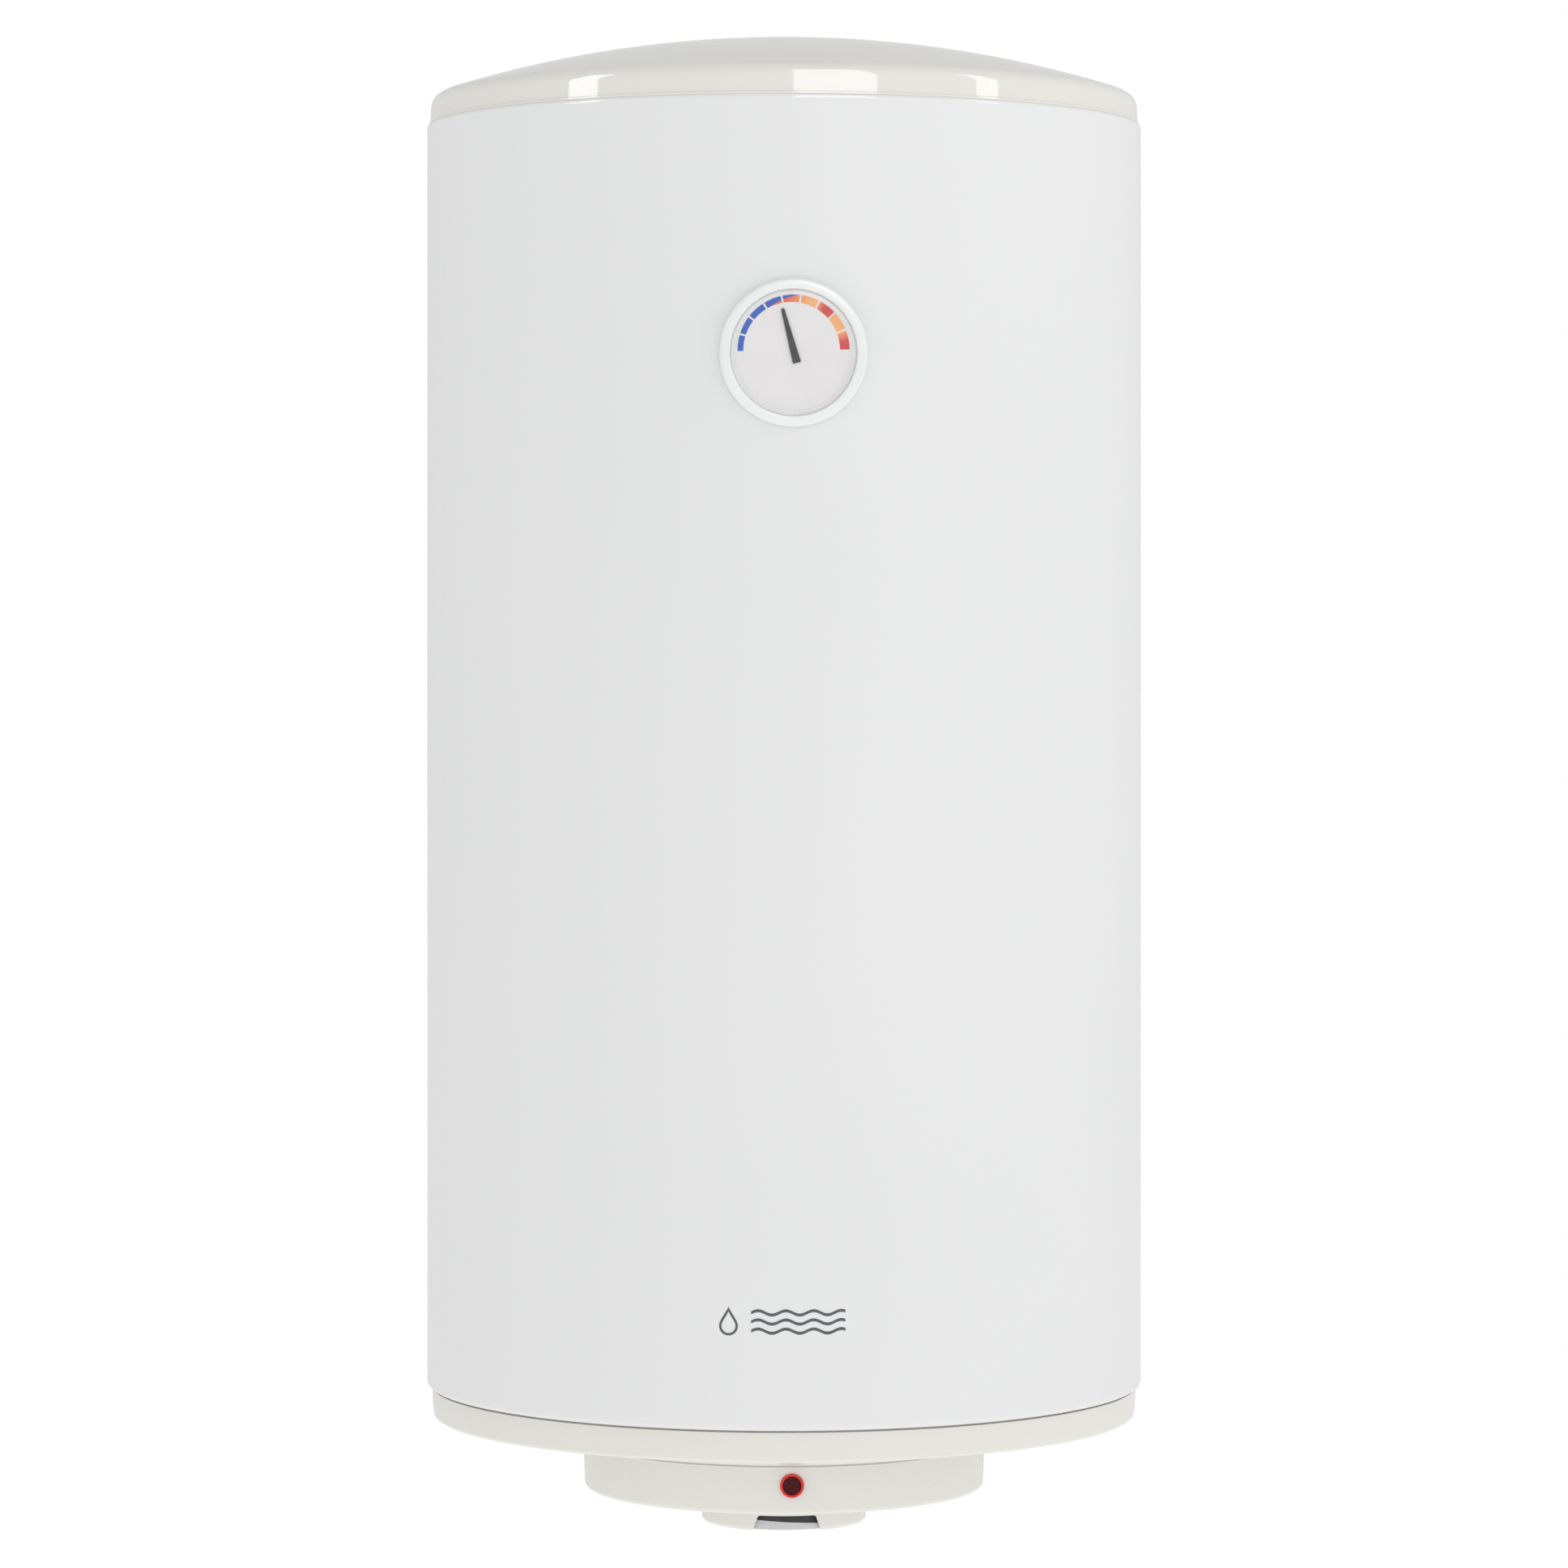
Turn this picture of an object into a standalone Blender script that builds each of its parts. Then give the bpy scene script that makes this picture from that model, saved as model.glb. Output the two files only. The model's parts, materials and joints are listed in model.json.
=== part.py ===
"""Wall-hung electric storage water heater, built piece by piece in metres.

World frame: +Z up, the front faces -Y, the wall is the plane Y = 0, and the origin is the middle of the
wall bracket's back face. The pieces are modelled round the tank's own axis, with height 0 at the
jacket's lower edge, and hang on one empty that puts that axis in front of the wall.
"""

from math import asin, cos, hypot, pi, radians, sin, sqrt, tan

import bmesh
import bpy
from mathutils import Matrix, Vector

# ---------------------------------------------------------------- driving dimensions
BODY_RADIUS = 0.225
BODY_HEIGHT = 0.7920
WALL_TO_AXIS = 0.240
BRACKET_HEIGHT = 0.620
GAP = 0.0004  # between pieces that touch or are welded

SHEET = 0.0008
TOP_ROLL = 0.0025
BOTTOM_ROLL = 0.0032
ROLL_END = radians(80)
SHELL = 0.0025  # moulded plastic wall

DOME_TOP = 0.8453
DOME_RADIUS = 0.705
RIM_FILLET = 0.009

CONE_TILT = radians(9.6)
CONE_OUTER = (0.2184, -0.0193)
CONE_INNER_RADIUS = 0.1285
HATCH_RADIUS = 0.082
HATCH_RIM_TOP = -0.006

TANK_RADIUS = 0.200
TANK_STEEL = 0.002
HEAD_DEPTH = 0.075
TANK_TOP = 0.815
NECK_RADIUS = 0.050
TANK_NECK = NECK_RADIUS + 0.0050  # where the lower head starts, round the flange ring
HEAD_STEPS = 5  # facets from a tank head's crown to its rim

COVER_TOP = -0.0354
COVER_FLOOR = -0.0649
COVER_RADIUS = 0.1267
COLLAR_RADIUS = 0.0518
COLLAR_BORE = 0.0484
COLLAR_FLOOR = -0.0872

KNOB_RADIUS = 0.0472
KNOB_DEPTH = 0.0219

GAUGE_HEIGHT = 0.6381
PIVOT_RISE = 0.0014  # the needle's pivot above the middle of the gauge
NEEDLE_REST = radians(14.9)

PIPE_X = 0.050
PIPE_Y = 0.150
PIPE_RADIUS = 0.01045
PIPE_BORE = 0.0080

LARGE, MEDIUM, SMALL = 36, 24, 12  # sides of a turned piece
NO_TURN = (0.0, 0.0, 0.0)
FACING_FRONT = (pi / 2, 0.0, 0.0)  # turns a piece's own +Z to the front


def clear_scene():
    for old in list(bpy.data.objects):
        bpy.data.objects.remove(old, do_unlink=True)


# ---------------------------------------------------------------- materials
def material(name, colour, roughness, metallic=0.0, alpha=1.0):
    made = bpy.data.materials.new(name)
    made.use_nodes = True
    shader = made.node_tree.nodes["Principled BSDF"]
    shader.inputs["Base Color"].default_value = (*colour, 1.0)
    shader.inputs["Roughness"].default_value = roughness
    shader.inputs["Metallic"].default_value = metallic
    shader.inputs["Alpha"].default_value = alpha
    return made


clear_scene()
WHITE_ENAMEL = material("white_enamel", (0.83, 0.83, 0.83), 0.28)
IVORY_PLASTIC = material("ivory_plastic", (0.80, 0.79, 0.74), 0.18)
WHITE_PLASTIC = material("white_plastic", (0.84, 0.86, 0.86), 0.25)
GREY_PLASTIC = material("grey_plastic", (0.58, 0.58, 0.60), 0.35)
BLACK_PLASTIC = material("black_plastic", (0.03, 0.03, 0.032), 0.4)
RED_LENS = material("red_lens", (0.45, 0.02, 0.02), 0.12)
CLEAR_LENS = material("clear_lens", (0.95, 0.96, 0.97), 0.03, alpha=0.3)
PU_FOAM = material("pu_foam", (0.86, 0.76, 0.46), 0.9)
TANK_ENAMEL = material("tank_enamel", (0.05, 0.11, 0.13), 0.2)
ZINC_STEEL = material("zinc_steel", (0.66, 0.66, 0.65), 0.35, 1.0)
COPPER = material("copper", (0.78, 0.42, 0.28), 0.3, 1.0)
MAGNESIUM = material("magnesium", (0.60, 0.60, 0.58), 0.55, 1.0)
RUBBER = material("rubber", (0.05, 0.05, 0.05), 0.8)
BLUE_PLASTIC = material("blue_plastic", (0.03, 0.12, 0.55), 0.35)
RED_PLASTIC = material("red_plastic", (0.60, 0.03, 0.03), 0.35)
BROWN_WIRE = material("brown_wire", (0.20, 0.09, 0.04), 0.5)
BLUE_WIRE = material("blue_wire", (0.03, 0.12, 0.50), 0.5)
EARTH_WIRE = material("earth_wire", (0.32, 0.50, 0.05), 0.5)


# ---------------------------------------------------------------- shape helpers
AXIS = bpy.data.objects.new("heater_axis", None)
AXIS.location = (0.0, -WALL_TO_AXIS, -BRACKET_HEIGHT)
bpy.context.scene.collection.objects.link(AXIS)


def add_object(name, data, finish, place=NO_TURN, turn=NO_TURN, parent=AXIS):
    """Links an object under the heater's axis, or under another empty."""
    data.materials.append(finish)
    made = bpy.data.objects.new(name, data)
    made.location = place
    made.rotation_euler = turn
    made.parent = parent
    bpy.context.scene.collection.objects.link(made)
    return made


def mesh_from(bm, name):
    """Closes a bmesh into a mesh with merged doubles, outward faces and smooth round sides."""
    bmesh.ops.remove_doubles(bm, verts=bm.verts, dist=1e-6)
    bmesh.ops.recalc_face_normals(bm, faces=bm.faces)
    mesh = bpy.data.meshes.new(name)
    bm.to_mesh(mesh)
    bm.free()
    mesh.shade_smooth()
    mesh.set_sharp_from_angle(angle=radians(35))
    return mesh


def arc(centre, radius, start, end, steps):
    """Points (radius, height) along a round corner of a profile, angles from the outward direction."""
    angles = [start + (end - start) * i / steps for i in range(steps + 1)]
    return [(centre[0] + radius * cos(a), centre[1] + radius * sin(a)) for a in angles]


def turned(name, profile, finish, sides=LARGE, place=NO_TURN, turn=NO_TURN):
    """A piece turned on a lathe: the (radius, height) profile goes round the piece's own Z axis."""
    bm = bmesh.new()
    points = [bm.verts.new((r, 0.0, h)) for r, h in profile]
    on_axis = profile[0][0] == 0.0 and profile[-1][0] == 0.0
    ends = points[1:] if on_axis else points[1:] + points[:1]
    edges = [bm.edges.new(pair) for pair in zip(points, ends)]
    bmesh.ops.spin(
        bm,
        geom=points + edges,
        axis=(0, 0, 1),
        cent=(0, 0, 0),
        angle=2 * pi,
        steps=sides,
        use_merge=True,
    )
    return add_object(name, mesh_from(bm, name), finish, place, turn)


def add_rod(bm, centre, direction, radius, length, sides=SMALL):
    """Adds a round bar to a bmesh, with its middle at centre."""
    lie = Vector((0, 0, 1)).rotation_difference(Vector(direction)).to_matrix().to_4x4()
    bmesh.ops.create_cone(
        bm,
        cap_ends=True,
        segments=sides,
        radius1=radius,
        radius2=radius,
        depth=length,
        matrix=Matrix.Translation(centre) @ lie,
    )


def rods(name, bars, finish, sides=SMALL):
    """One object of several round bars, each (centre, direction, radius, length)."""
    bm = bmesh.new()
    for centre, direction, radius, length in bars:
        add_rod(bm, centre, direction, radius, length, sides)
    return add_object(name, mesh_from(bm, name), finish)


def block(name, low, high, finish, round_edge=0.0):
    """A box between two corners, with its edges rounded."""
    bm = bmesh.new()
    bmesh.ops.create_cube(bm, size=1.0)
    size = [b - a for a, b in zip(low, high)]
    bmesh.ops.scale(bm, vec=size, verts=bm.verts)
    if round_edge:
        bmesh.ops.bevel(
            bm, geom=bm.edges[:], offset=round_edge, segments=2, profile=0.5, affect="EDGES", material=-1
        )
    middle = [(a + b) / 2 for a, b in zip(low, high)]
    return add_object(name, mesh_from(bm, name), finish, middle)


def extruded(name, outline, low, high, finish, across="Z"):
    """A flat outline made into a plate: across Z it is drawn in X and Y, across Y in X and Z."""
    bm = bmesh.new()
    if across == "Z":
        corners = [bm.verts.new((a, b, low)) for a, b in outline]
        push = (0, 0, high - low)
    else:
        corners = [bm.verts.new((a, low, b)) for a, b in outline]
        push = (0, high - low, 0)
    face = bm.faces.new(corners)
    grown = bmesh.ops.extrude_face_region(bm, geom=[face])
    moved = [g for g in grown["geom"] if isinstance(g, bmesh.types.BMVert)]
    bmesh.ops.translate(bm, vec=push, verts=moved)
    return add_object(name, mesh_from(bm, name), finish)


def boolean(target, tool, operation):
    """Cuts a helper from a piece, or joins it on, and hides the helper."""
    tool.hide_render = True
    tool.display_type = "WIRE"
    step = target.modifiers.new(tool.name, "BOOLEAN")
    step.operation = operation
    step.object = tool
    return target


def cut(target, tool):
    return boolean(target, tool, "DIFFERENCE")


def join(target, tool):
    return boolean(target, tool, "UNION")


def drill(target, holes, sides=SMALL):
    """Drills round holes, each (centre, direction, radius, length), through a piece."""
    return cut(target, rods(target.name + "_drill", holes, target.data.materials[0], sides))


def tube(name, points, radius, finish, smooth=True):
    """A wire or bar of round section through the points."""
    curve = bpy.data.curves.new(name, "CURVE")
    curve.dimensions = "3D"
    curve.bevel_depth = radius
    curve.bevel_resolution = 1
    curve.use_fill_caps = True
    if smooth:
        curve.resolution_u = 2
        line = curve.splines.new("BEZIER")
        line.bezier_points.add(len(points) - 1)
        for knot, point in zip(line.bezier_points, points):
            knot.co = point
            knot.handle_left_type = knot.handle_right_type = "AUTO"
    else:
        line = curve.splines.new("POLY")
        line.points.add(len(points) - 1)
        for knot, point in zip(line.points, points):
            knot.co = (*point, 1.0)
    return add_object(name, curve, finish)


def cone_height(radius):
    """Height of the bottom cap's conical underside at a radius."""
    return CONE_OUTER[1] - (CONE_OUTER[0] - radius) * tan(CONE_TILT)


def tank_head(start, radius=TANK_RADIUS, depth=HEAD_DEPTH):
    """Points (radius, fall from the crown) down an elliptical tank head, from a start radius."""
    first = asin(start / TANK_RADIUS)
    turns = [first + (pi / 2 - first) * i / HEAD_STEPS for i in range(HEAD_STEPS + 1)]
    return [(radius * sin(t), depth * (1 - cos(t))) for t in turns]


# ---------------------------------------------------------------- casing
HATCH_HEIGHT = cone_height(CONE_INNER_RADIUS)
PAD_RADIUS = 0.020
PAD = (-0.0350, -0.0254)  # underside and top of the flat pads round the water pipes
BRACKET_FOOT = (radians(13), radians(27))
BOLT_ANGLE = radians(21.5)
BOLT_RISE = 0.014


def bracket_bolt_places():
    """(outward direction, height) of the four bolts that hold the wall bracket to the tank."""
    sides = (Vector((sin(a), cos(a), 0.0)) for a in (-BOLT_ANGLE, BOLT_ANGLE))
    return [(out, BRACKET_HEIGHT + rise) for out in sides for rise in (-BOLT_RISE, BOLT_RISE)]


def gauge_place(outward=0.0):
    """A point on the gauge's own axis, measured outward from the front of the jacket."""
    return Vector((0.0, -BODY_RADIUS - outward, GAUGE_HEIGHT))


def make_jacket():
    """Painted steel sheet rolled into a cylinder, with both edges turned in."""
    low = (BODY_RADIUS - BOTTOM_ROLL, BOTTOM_ROLL)
    high = (BODY_RADIUS - TOP_ROLL, BODY_HEIGHT - TOP_ROLL)
    profile = arc(low, BOTTOM_ROLL, -ROLL_END, 0, 2)
    profile += arc(high, TOP_ROLL, 0, ROLL_END, 2)
    profile += arc(high, TOP_ROLL - SHEET, ROLL_END, 0, 1)
    profile += arc(low, BOTTOM_ROLL - SHEET, 0, -ROLL_END, 1)
    jacket = turned("outer_jacket", profile, WHITE_ENAMEL)
    holes = [(gauge_place(), (0, 1, 0), 0.0305, 0.03)]
    for out, height in bracket_bolt_places():
        holes.append((out * BODY_RADIUS + Vector((0, 0, height)), out, 0.0046, 0.02))
    drill(jacket, holes, 20)


def make_top_cap():
    """Moulded lid: a skirt inside the jacket, a thin lip on its edge, a low wall and a dome."""
    wall_top = 0.2221
    dome_centre = DOME_TOP - DOME_RADIUS
    fillet_radius = wall_top - RIM_FILLET
    reach = DOME_RADIUS - RIM_FILLET
    fillet = (fillet_radius, dome_centre + sqrt(reach**2 - fillet_radius**2))
    tilt = asin(fillet_radius / reach)
    skirt = 0.2216
    skirt_foot = BODY_HEIGHT - 0.022
    edge = BODY_HEIGHT + GAP
    outer = [(skirt, skirt_foot), (skirt, edge), (0.2232, edge), (0.2232, edge + 0.0008)]
    outer += [(0.2226, edge + 0.0012)]
    outer += arc(fillet, RIM_FILLET, 0, pi / 2 - tilt, 3)
    centre = (0.0, dome_centre)
    outer += arc(centre, DOME_RADIUS, pi / 2 - tilt, pi / 2, 4)[1:]
    inner = arc(centre, DOME_RADIUS - SHELL, pi / 2, pi / 2 - tilt, 3)
    inner += arc(fillet, RIM_FILLET - SHELL, pi / 2 - tilt, 0, 1)[1:]
    inner += [(skirt - SHELL, edge), (skirt - SHELL, skirt_foot)]
    outer[-1], inner[0] = (0.0, outer[-1][1]), (0.0, inner[0][1])
    profile = inner + outer
    turned("top_cap", profile, IVORY_PLASTIC)


def make_bottom_cap():
    """Moulded dish: a skirt inside the jacket, a wall, a shallow cone and a hatch for the tank flange."""
    skirt, skirt_top, edge = 0.2208, 0.0240, -0.0004
    corner = 0.0028
    corner_centre = (CONE_OUTER[0] - corner * sin(CONE_TILT) + 0.0002, CONE_OUTER[1] + corner)
    outer = [(skirt, skirt_top), (skirt, 0.0036), (0.2215, 0.0034), (0.2215, edge)]
    outer += arc(corner_centre, corner, 0, -pi / 2 + CONE_TILT, 2)
    outer += [(CONE_INNER_RADIUS, HATCH_HEIGHT), (HATCH_RADIUS, HATCH_HEIGHT)]
    outer += [(HATCH_RADIUS, HATCH_RIM_TOP)]
    floor = HATCH_HEIGHT + SHELL
    inner = [(HATCH_RADIUS + SHELL, HATCH_RIM_TOP), (HATCH_RADIUS + SHELL, floor)]
    inner += [(CONE_INNER_RADIUS, floor), (CONE_OUTER[0] - SHELL, CONE_OUTER[1] + SHELL)]
    inner += [(skirt - SHELL, 0.0), (skirt - SHELL, skirt_top)]
    cap = turned("bottom_cap", outer + inner, IVORY_PLASTIC)

    low, high = PAD
    pads = [((x, PIPE_Y, (low + high) / 2), (0, 0, 1), PAD_RADIUS, high - low) for x in (-PIPE_X, PIPE_X)]
    join(cap, rods("pipe_pads", pads, IVORY_PLASTIC, 20))
    posts = [((x, 0.0, -0.0475), (0, 0, 1), 0.005, 0.0290) for x in (-SCREW_X, SCREW_X)]
    join(cap, rods("screw_posts", posts, IVORY_PLASTIC))
    holes = [((x, PIPE_Y, -0.030), (0, 0, 1), 0.0112, 0.04) for x in (-PIPE_X, PIPE_X)]
    holes += [((x, 0.0, -0.0560), (0, 0, 1), 0.0021, 0.022) for x in (-SCREW_X, SCREW_X)]
    drill(cap, holes)


def make_foam():
    """Polyurethane foam poured between the tank, the jacket and the two caps."""
    cavity = TANK_RADIUS + GAP
    narrow, wide = 0.2170, 0.2229
    hatch = HATCH_RADIUS + SHELL + 0.0010
    floor = SHELL + 2 * GAP
    dome_centre = DOME_TOP - DOME_RADIUS
    dome = DOME_RADIUS - SHELL - 0.0016
    top_rim = 0.2060
    profile = [(hatch, HATCH_HEIGHT + floor), (CONE_INNER_RADIUS, HATCH_HEIGHT + floor)]
    profile += [(0.2150, cone_height(0.2150) + floor), (narrow, 0.0002)]
    profile += [(narrow, 0.0246), (wide, 0.0252)]
    profile += [(wide, BODY_HEIGHT - 0.0232), (narrow, BODY_HEIGHT - 0.0226)]
    profile += [(narrow, BODY_HEIGHT + 0.0080)]
    steps = 3
    for i in range(steps + 1):
        radius = top_rim * (1 - i / steps)
        profile.append((radius, dome_centre + sqrt(dome**2 - radius**2)))
    profile += [(r, TANK_TOP + GAP - fall) for r, fall in tank_head(0.0, cavity)]
    bowl = [(r, fall - GAP) for r, fall in tank_head(TANK_NECK, cavity)]
    profile += [point for point in reversed(bowl) if point[0] > hatch]
    profile.append((hatch, 0.0))
    foam = turned("foam_insulation", profile, PU_FOAM, MEDIUM)
    hollows = [((x, PIPE_Y, PAD[0]), (0, 0, 1), PAD_RADIUS + 0.001, 0.0204) for x in (-PIPE_X, PIPE_X)]
    cut(foam, rods("pad_hollows", hollows, PU_FOAM, 20))
    holes = [(gauge_place(-0.012), (0, 1, 0), 0.0310, 0.05)]
    holes += [((x, PIPE_Y, 0.0), (0, 0, 1), 0.0116, 0.11) for x in (-PIPE_X, PIPE_X)]
    for out, height in bracket_bolt_places():
        holes.append((out * BODY_RADIUS + Vector((0, 0, height)), out, 0.0048, 0.08))
    drill(foam, holes)


# ---------------------------------------------------------------- tank
def make_tank():
    """Enamelled steel barrel with two pressed elliptical heads."""
    barrel_low, barrel_high = HEAD_DEPTH + GAP, TANK_TOP - HEAD_DEPTH - GAP
    inside, lining_depth = TANK_RADIUS - TANK_STEEL, HEAD_DEPTH - TANK_STEEL
    wall = [(TANK_RADIUS, barrel_low), (TANK_RADIUS, barrel_high)]
    wall += [(inside, barrel_high), (inside, barrel_low)]
    turned("tank_barrel", wall, TANK_ENAMEL, MEDIUM)

    crown = [(r, TANK_TOP - fall) for r, fall in tank_head(0.0)]
    lining = [(r, TANK_TOP - TANK_STEEL - fall) for r, fall in tank_head(0.0, inside, lining_depth)]
    turned("tank_top_head", crown + lining[::-1], TANK_ENAMEL, MEDIUM)

    dish = tank_head(TANK_NECK)
    lining = [(r, fall + TANK_STEEL) for r, fall in tank_head(TANK_NECK, inside, lining_depth)]
    dish += lining[::-1]
    bottom = turned("tank_bottom_head", dish, TANK_ENAMEL, MEDIUM)
    drill(bottom, [((x, PIPE_Y, 0.03), (0, 0, 1), 0.0109, 0.06) for x in (-PIPE_X, PIPE_X)])


FLANGE_BOLT_CIRCLE = 0.0640
ELEMENT_LEGS = ((-0.034, -0.014), (-0.012, -0.032), (0.012, -0.032), (0.034, -0.014))
POCKET_Y = 0.012
ANODE_Y = 0.036
ELEMENT_TAIL = -0.0275
PLATE_TOP = -0.0160
PLATE_UNDERSIDE = -0.0210


def flange_bolt_places():
    turns = [radians(60) * i + radians(30) for i in range(6)]
    return [(FLANGE_BOLT_CIRCLE * cos(t), FLANGE_BOLT_CIRCLE * sin(t)) for t in turns]


def make_flange():
    """The tank's welded ring, a gasket and the bolted plate that carries the heater."""
    ring_foot, ring_top = -0.0125, -0.0045
    ring = [(NECK_RADIUS, ring_foot), (0.077, ring_foot), (0.077, ring_top)]
    ring += [(0.0543, ring_top), (0.0543, 0.0040), (NECK_RADIUS, 0.0040)]
    bolts = [((x, y, -0.01), (0, 0, 1), 0.0047, 0.04) for x, y in flange_bolt_places()]
    drill(turned("flange_ring", ring, TANK_ENAMEL, MEDIUM), bolts, 8)

    seal = [(0.051, PLATE_TOP + 0.0003), (0.075, PLATE_TOP + 0.0003)]
    seal += [(0.075, ring_foot - 0.0003), (0.051, ring_foot - 0.0003)]
    drill(turned("flange_gasket", seal, RUBBER, MEDIUM), bolts, 8)

    disc = [(0.0, PLATE_UNDERSIDE), (0.075, PLATE_UNDERSIDE), (0.075, PLATE_TOP), (0.0, PLATE_TOP)]
    plate = turned("flange_plate", disc, ZINC_STEEL, MEDIUM)
    for x, y in (ELEMENT_LEGS[0], ELEMENT_LEGS[-1]):
        bolts.append(((x, y, -0.01), (0, 0, 1), 0.0050, 0.04))
    bolts.append(((0.0, POCKET_Y, -0.01), (0, 0, 1), 0.0080, 0.04))
    bolts.append(((0.0, ANODE_Y, -0.01), (0, 0, 1), 0.0047, 0.04))
    drill(plate, bolts, 8)


def hex_bolt(name, place, out, head_radius, head, shank_radius, shank, finish):
    """A hexagon-headed bolt: the head's inner face is at place, and out points away from the shank."""
    bm = bmesh.new()
    add_rod(bm, Vector((0, 0, head / 2)), (0, 0, 1), head_radius, head, 6)
    shaft = bmesh.new()
    add_rod(shaft, Vector((0, 0, -shank / 2 + 0.0005)), (0, 0, 1), shank_radius, shank + 0.001, 10)
    turn = Vector((0, 0, 1)).rotation_difference(Vector(out)).to_euler()
    bolt = add_object(name, mesh_from(bm, name), finish, place, turn)
    stem = add_object(name + "_shank", mesh_from(shaft, name + "_shank"), finish, place, turn)
    return join(bolt, stem)


def make_flange_bolts():
    for number, (x, y) in enumerate(flange_bolt_places(), 1):
        place = (x, y, PLATE_UNDERSIDE - 0.0003)
        hex_bolt(f"flange_bolt_{number}", place, (0, 0, -1), 0.0075, 0.0053, 0.0040, 0.0160, ZINC_STEEL)


def half_turn(a, b, height, side, steps=6):
    """Points along a U bend from leg a to leg b, over the top (side 1) or underneath (side -1)."""
    middle = ((a[0] + b[0]) / 2, (a[1] + b[1]) / 2)
    radius = hypot(b[0] - a[0], b[1] - a[1]) / 2
    points = []
    for i in range(steps + 1):
        turn = pi * i / steps
        along = -cos(turn)
        x = middle[0] + (b[0] - a[0]) / 2 * along
        y = middle[1] + (b[1] - a[1]) / 2 * along
        points.append((x, y, height + side * radius * sin(turn)))
    return points


def make_immersed_parts():
    """Heating element, sacrificial anode and thermostat pocket, all carried by the flange plate."""
    a, b, c, d = ELEMENT_LEGS
    high, low = 0.300, 0.035
    path = [(*a, ELEMENT_TAIL)] + half_turn(a, b, high, 1) + half_turn(b, c, low, -1)
    path += half_turn(c, d, high, 1) + [(*d, ELEMENT_TAIL)]
    tube("heating_element", path, 0.00425, COPPER, smooth=False)

    stud, bar = 0.0040, 0.0110
    anode = [(0.0, -0.0300), (stud, -0.0300), (stud, 0.0), (bar, 0.002), (bar, 0.232)]
    anode += [(0.008, 0.235), (0.0, 0.235)]
    turned("anode_rod", anode, MAGNESIUM, SMALL, (0.0, ANODE_Y, 0.0))
    nut = [(stud + GAP, -0.0003), (0.0072, -0.0003), (0.0072, -0.0060), (stud + GAP, -0.0060)]
    turned("anode_nut", nut, ZINC_STEEL, 12, (0.0, ANODE_Y, PLATE_UNDERSIDE))

    pocket = [(0.0070, PLATE_UNDERSIDE - 0.001), (0.0070, 0.258), (0.0055, 0.260), (0.0, 0.260)]
    pocket += [(0.0, 0.2585), (0.0055, 0.2570), (0.0055, PLATE_UNDERSIDE - 0.001)]
    turned("thermostat_pocket", pocket, COPPER, SMALL, (0.0, POCKET_Y, 0.0))


def make_water_pipes():
    """Threaded stubs through the tank's lower head, the standpipe and the inlet's diffuser."""
    foot, top = -0.0580, 0.0450
    wall = [(PIPE_BORE, foot), (PIPE_RADIUS, foot), (PIPE_RADIUS, top), (PIPE_BORE, top)]
    turned("cold_inlet_stub", wall, ZINC_STEEL, SMALL, (PIPE_X, PIPE_Y, 0.0))
    turned("hot_outlet_stub", wall, ZINC_STEEL, SMALL, (-PIPE_X, PIPE_Y, 0.0))

    riser = [(PIPE_BORE, top + GAP), (0.0095, top + GAP), (0.0095, 0.765), (PIPE_BORE, 0.765)]
    turned("hot_standpipe", riser, ZINC_STEEL, SMALL, (-PIPE_X, PIPE_Y, 0.0))

    sleeve, bore, sleeve_top = 0.0140, 0.0112, 0.0640
    cup = [(bore, 0.0412), (sleeve, 0.0412), (sleeve, sleeve_top), (0.0, sleeve_top)]
    cup += [(0.0, sleeve_top - 0.002), (bore, sleeve_top - 0.002)]
    diffuser = turned("cold_water_diffuser", cup, GREY_PLASTIC, SMALL, (PIPE_X, PIPE_Y, 0.0))
    for direction in ((1, 0, 0), (0, 1, 0)):
        drill(diffuser, [((PIPE_X, PIPE_Y, 0.0545), direction, 0.0040, 0.04)], 8)

    low, high = -0.0388, PAD[0] - 0.0003
    collar = [(0.0110, low), (0.0175, low), (0.0185, low + 0.0010), (0.0185, high), (0.0110, high)]
    turned("cold_pipe_ring", collar, BLUE_PLASTIC, SMALL, (PIPE_X, PIPE_Y, 0.0))
    turned("hot_pipe_ring", collar, RED_PLASTIC, SMALL, (-PIPE_X, PIPE_Y, 0.0))


# ---------------------------------------------------------------- electrical compartment
SCREW_X = 0.105
LAMP_HEIGHT = -0.0472
GLAND_Y = 0.092
LAMP_BACK = -0.0985
WIRE_RADIUS = 0.0013
BUTTON_PLACE = (0.016, 0.020)


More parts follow.
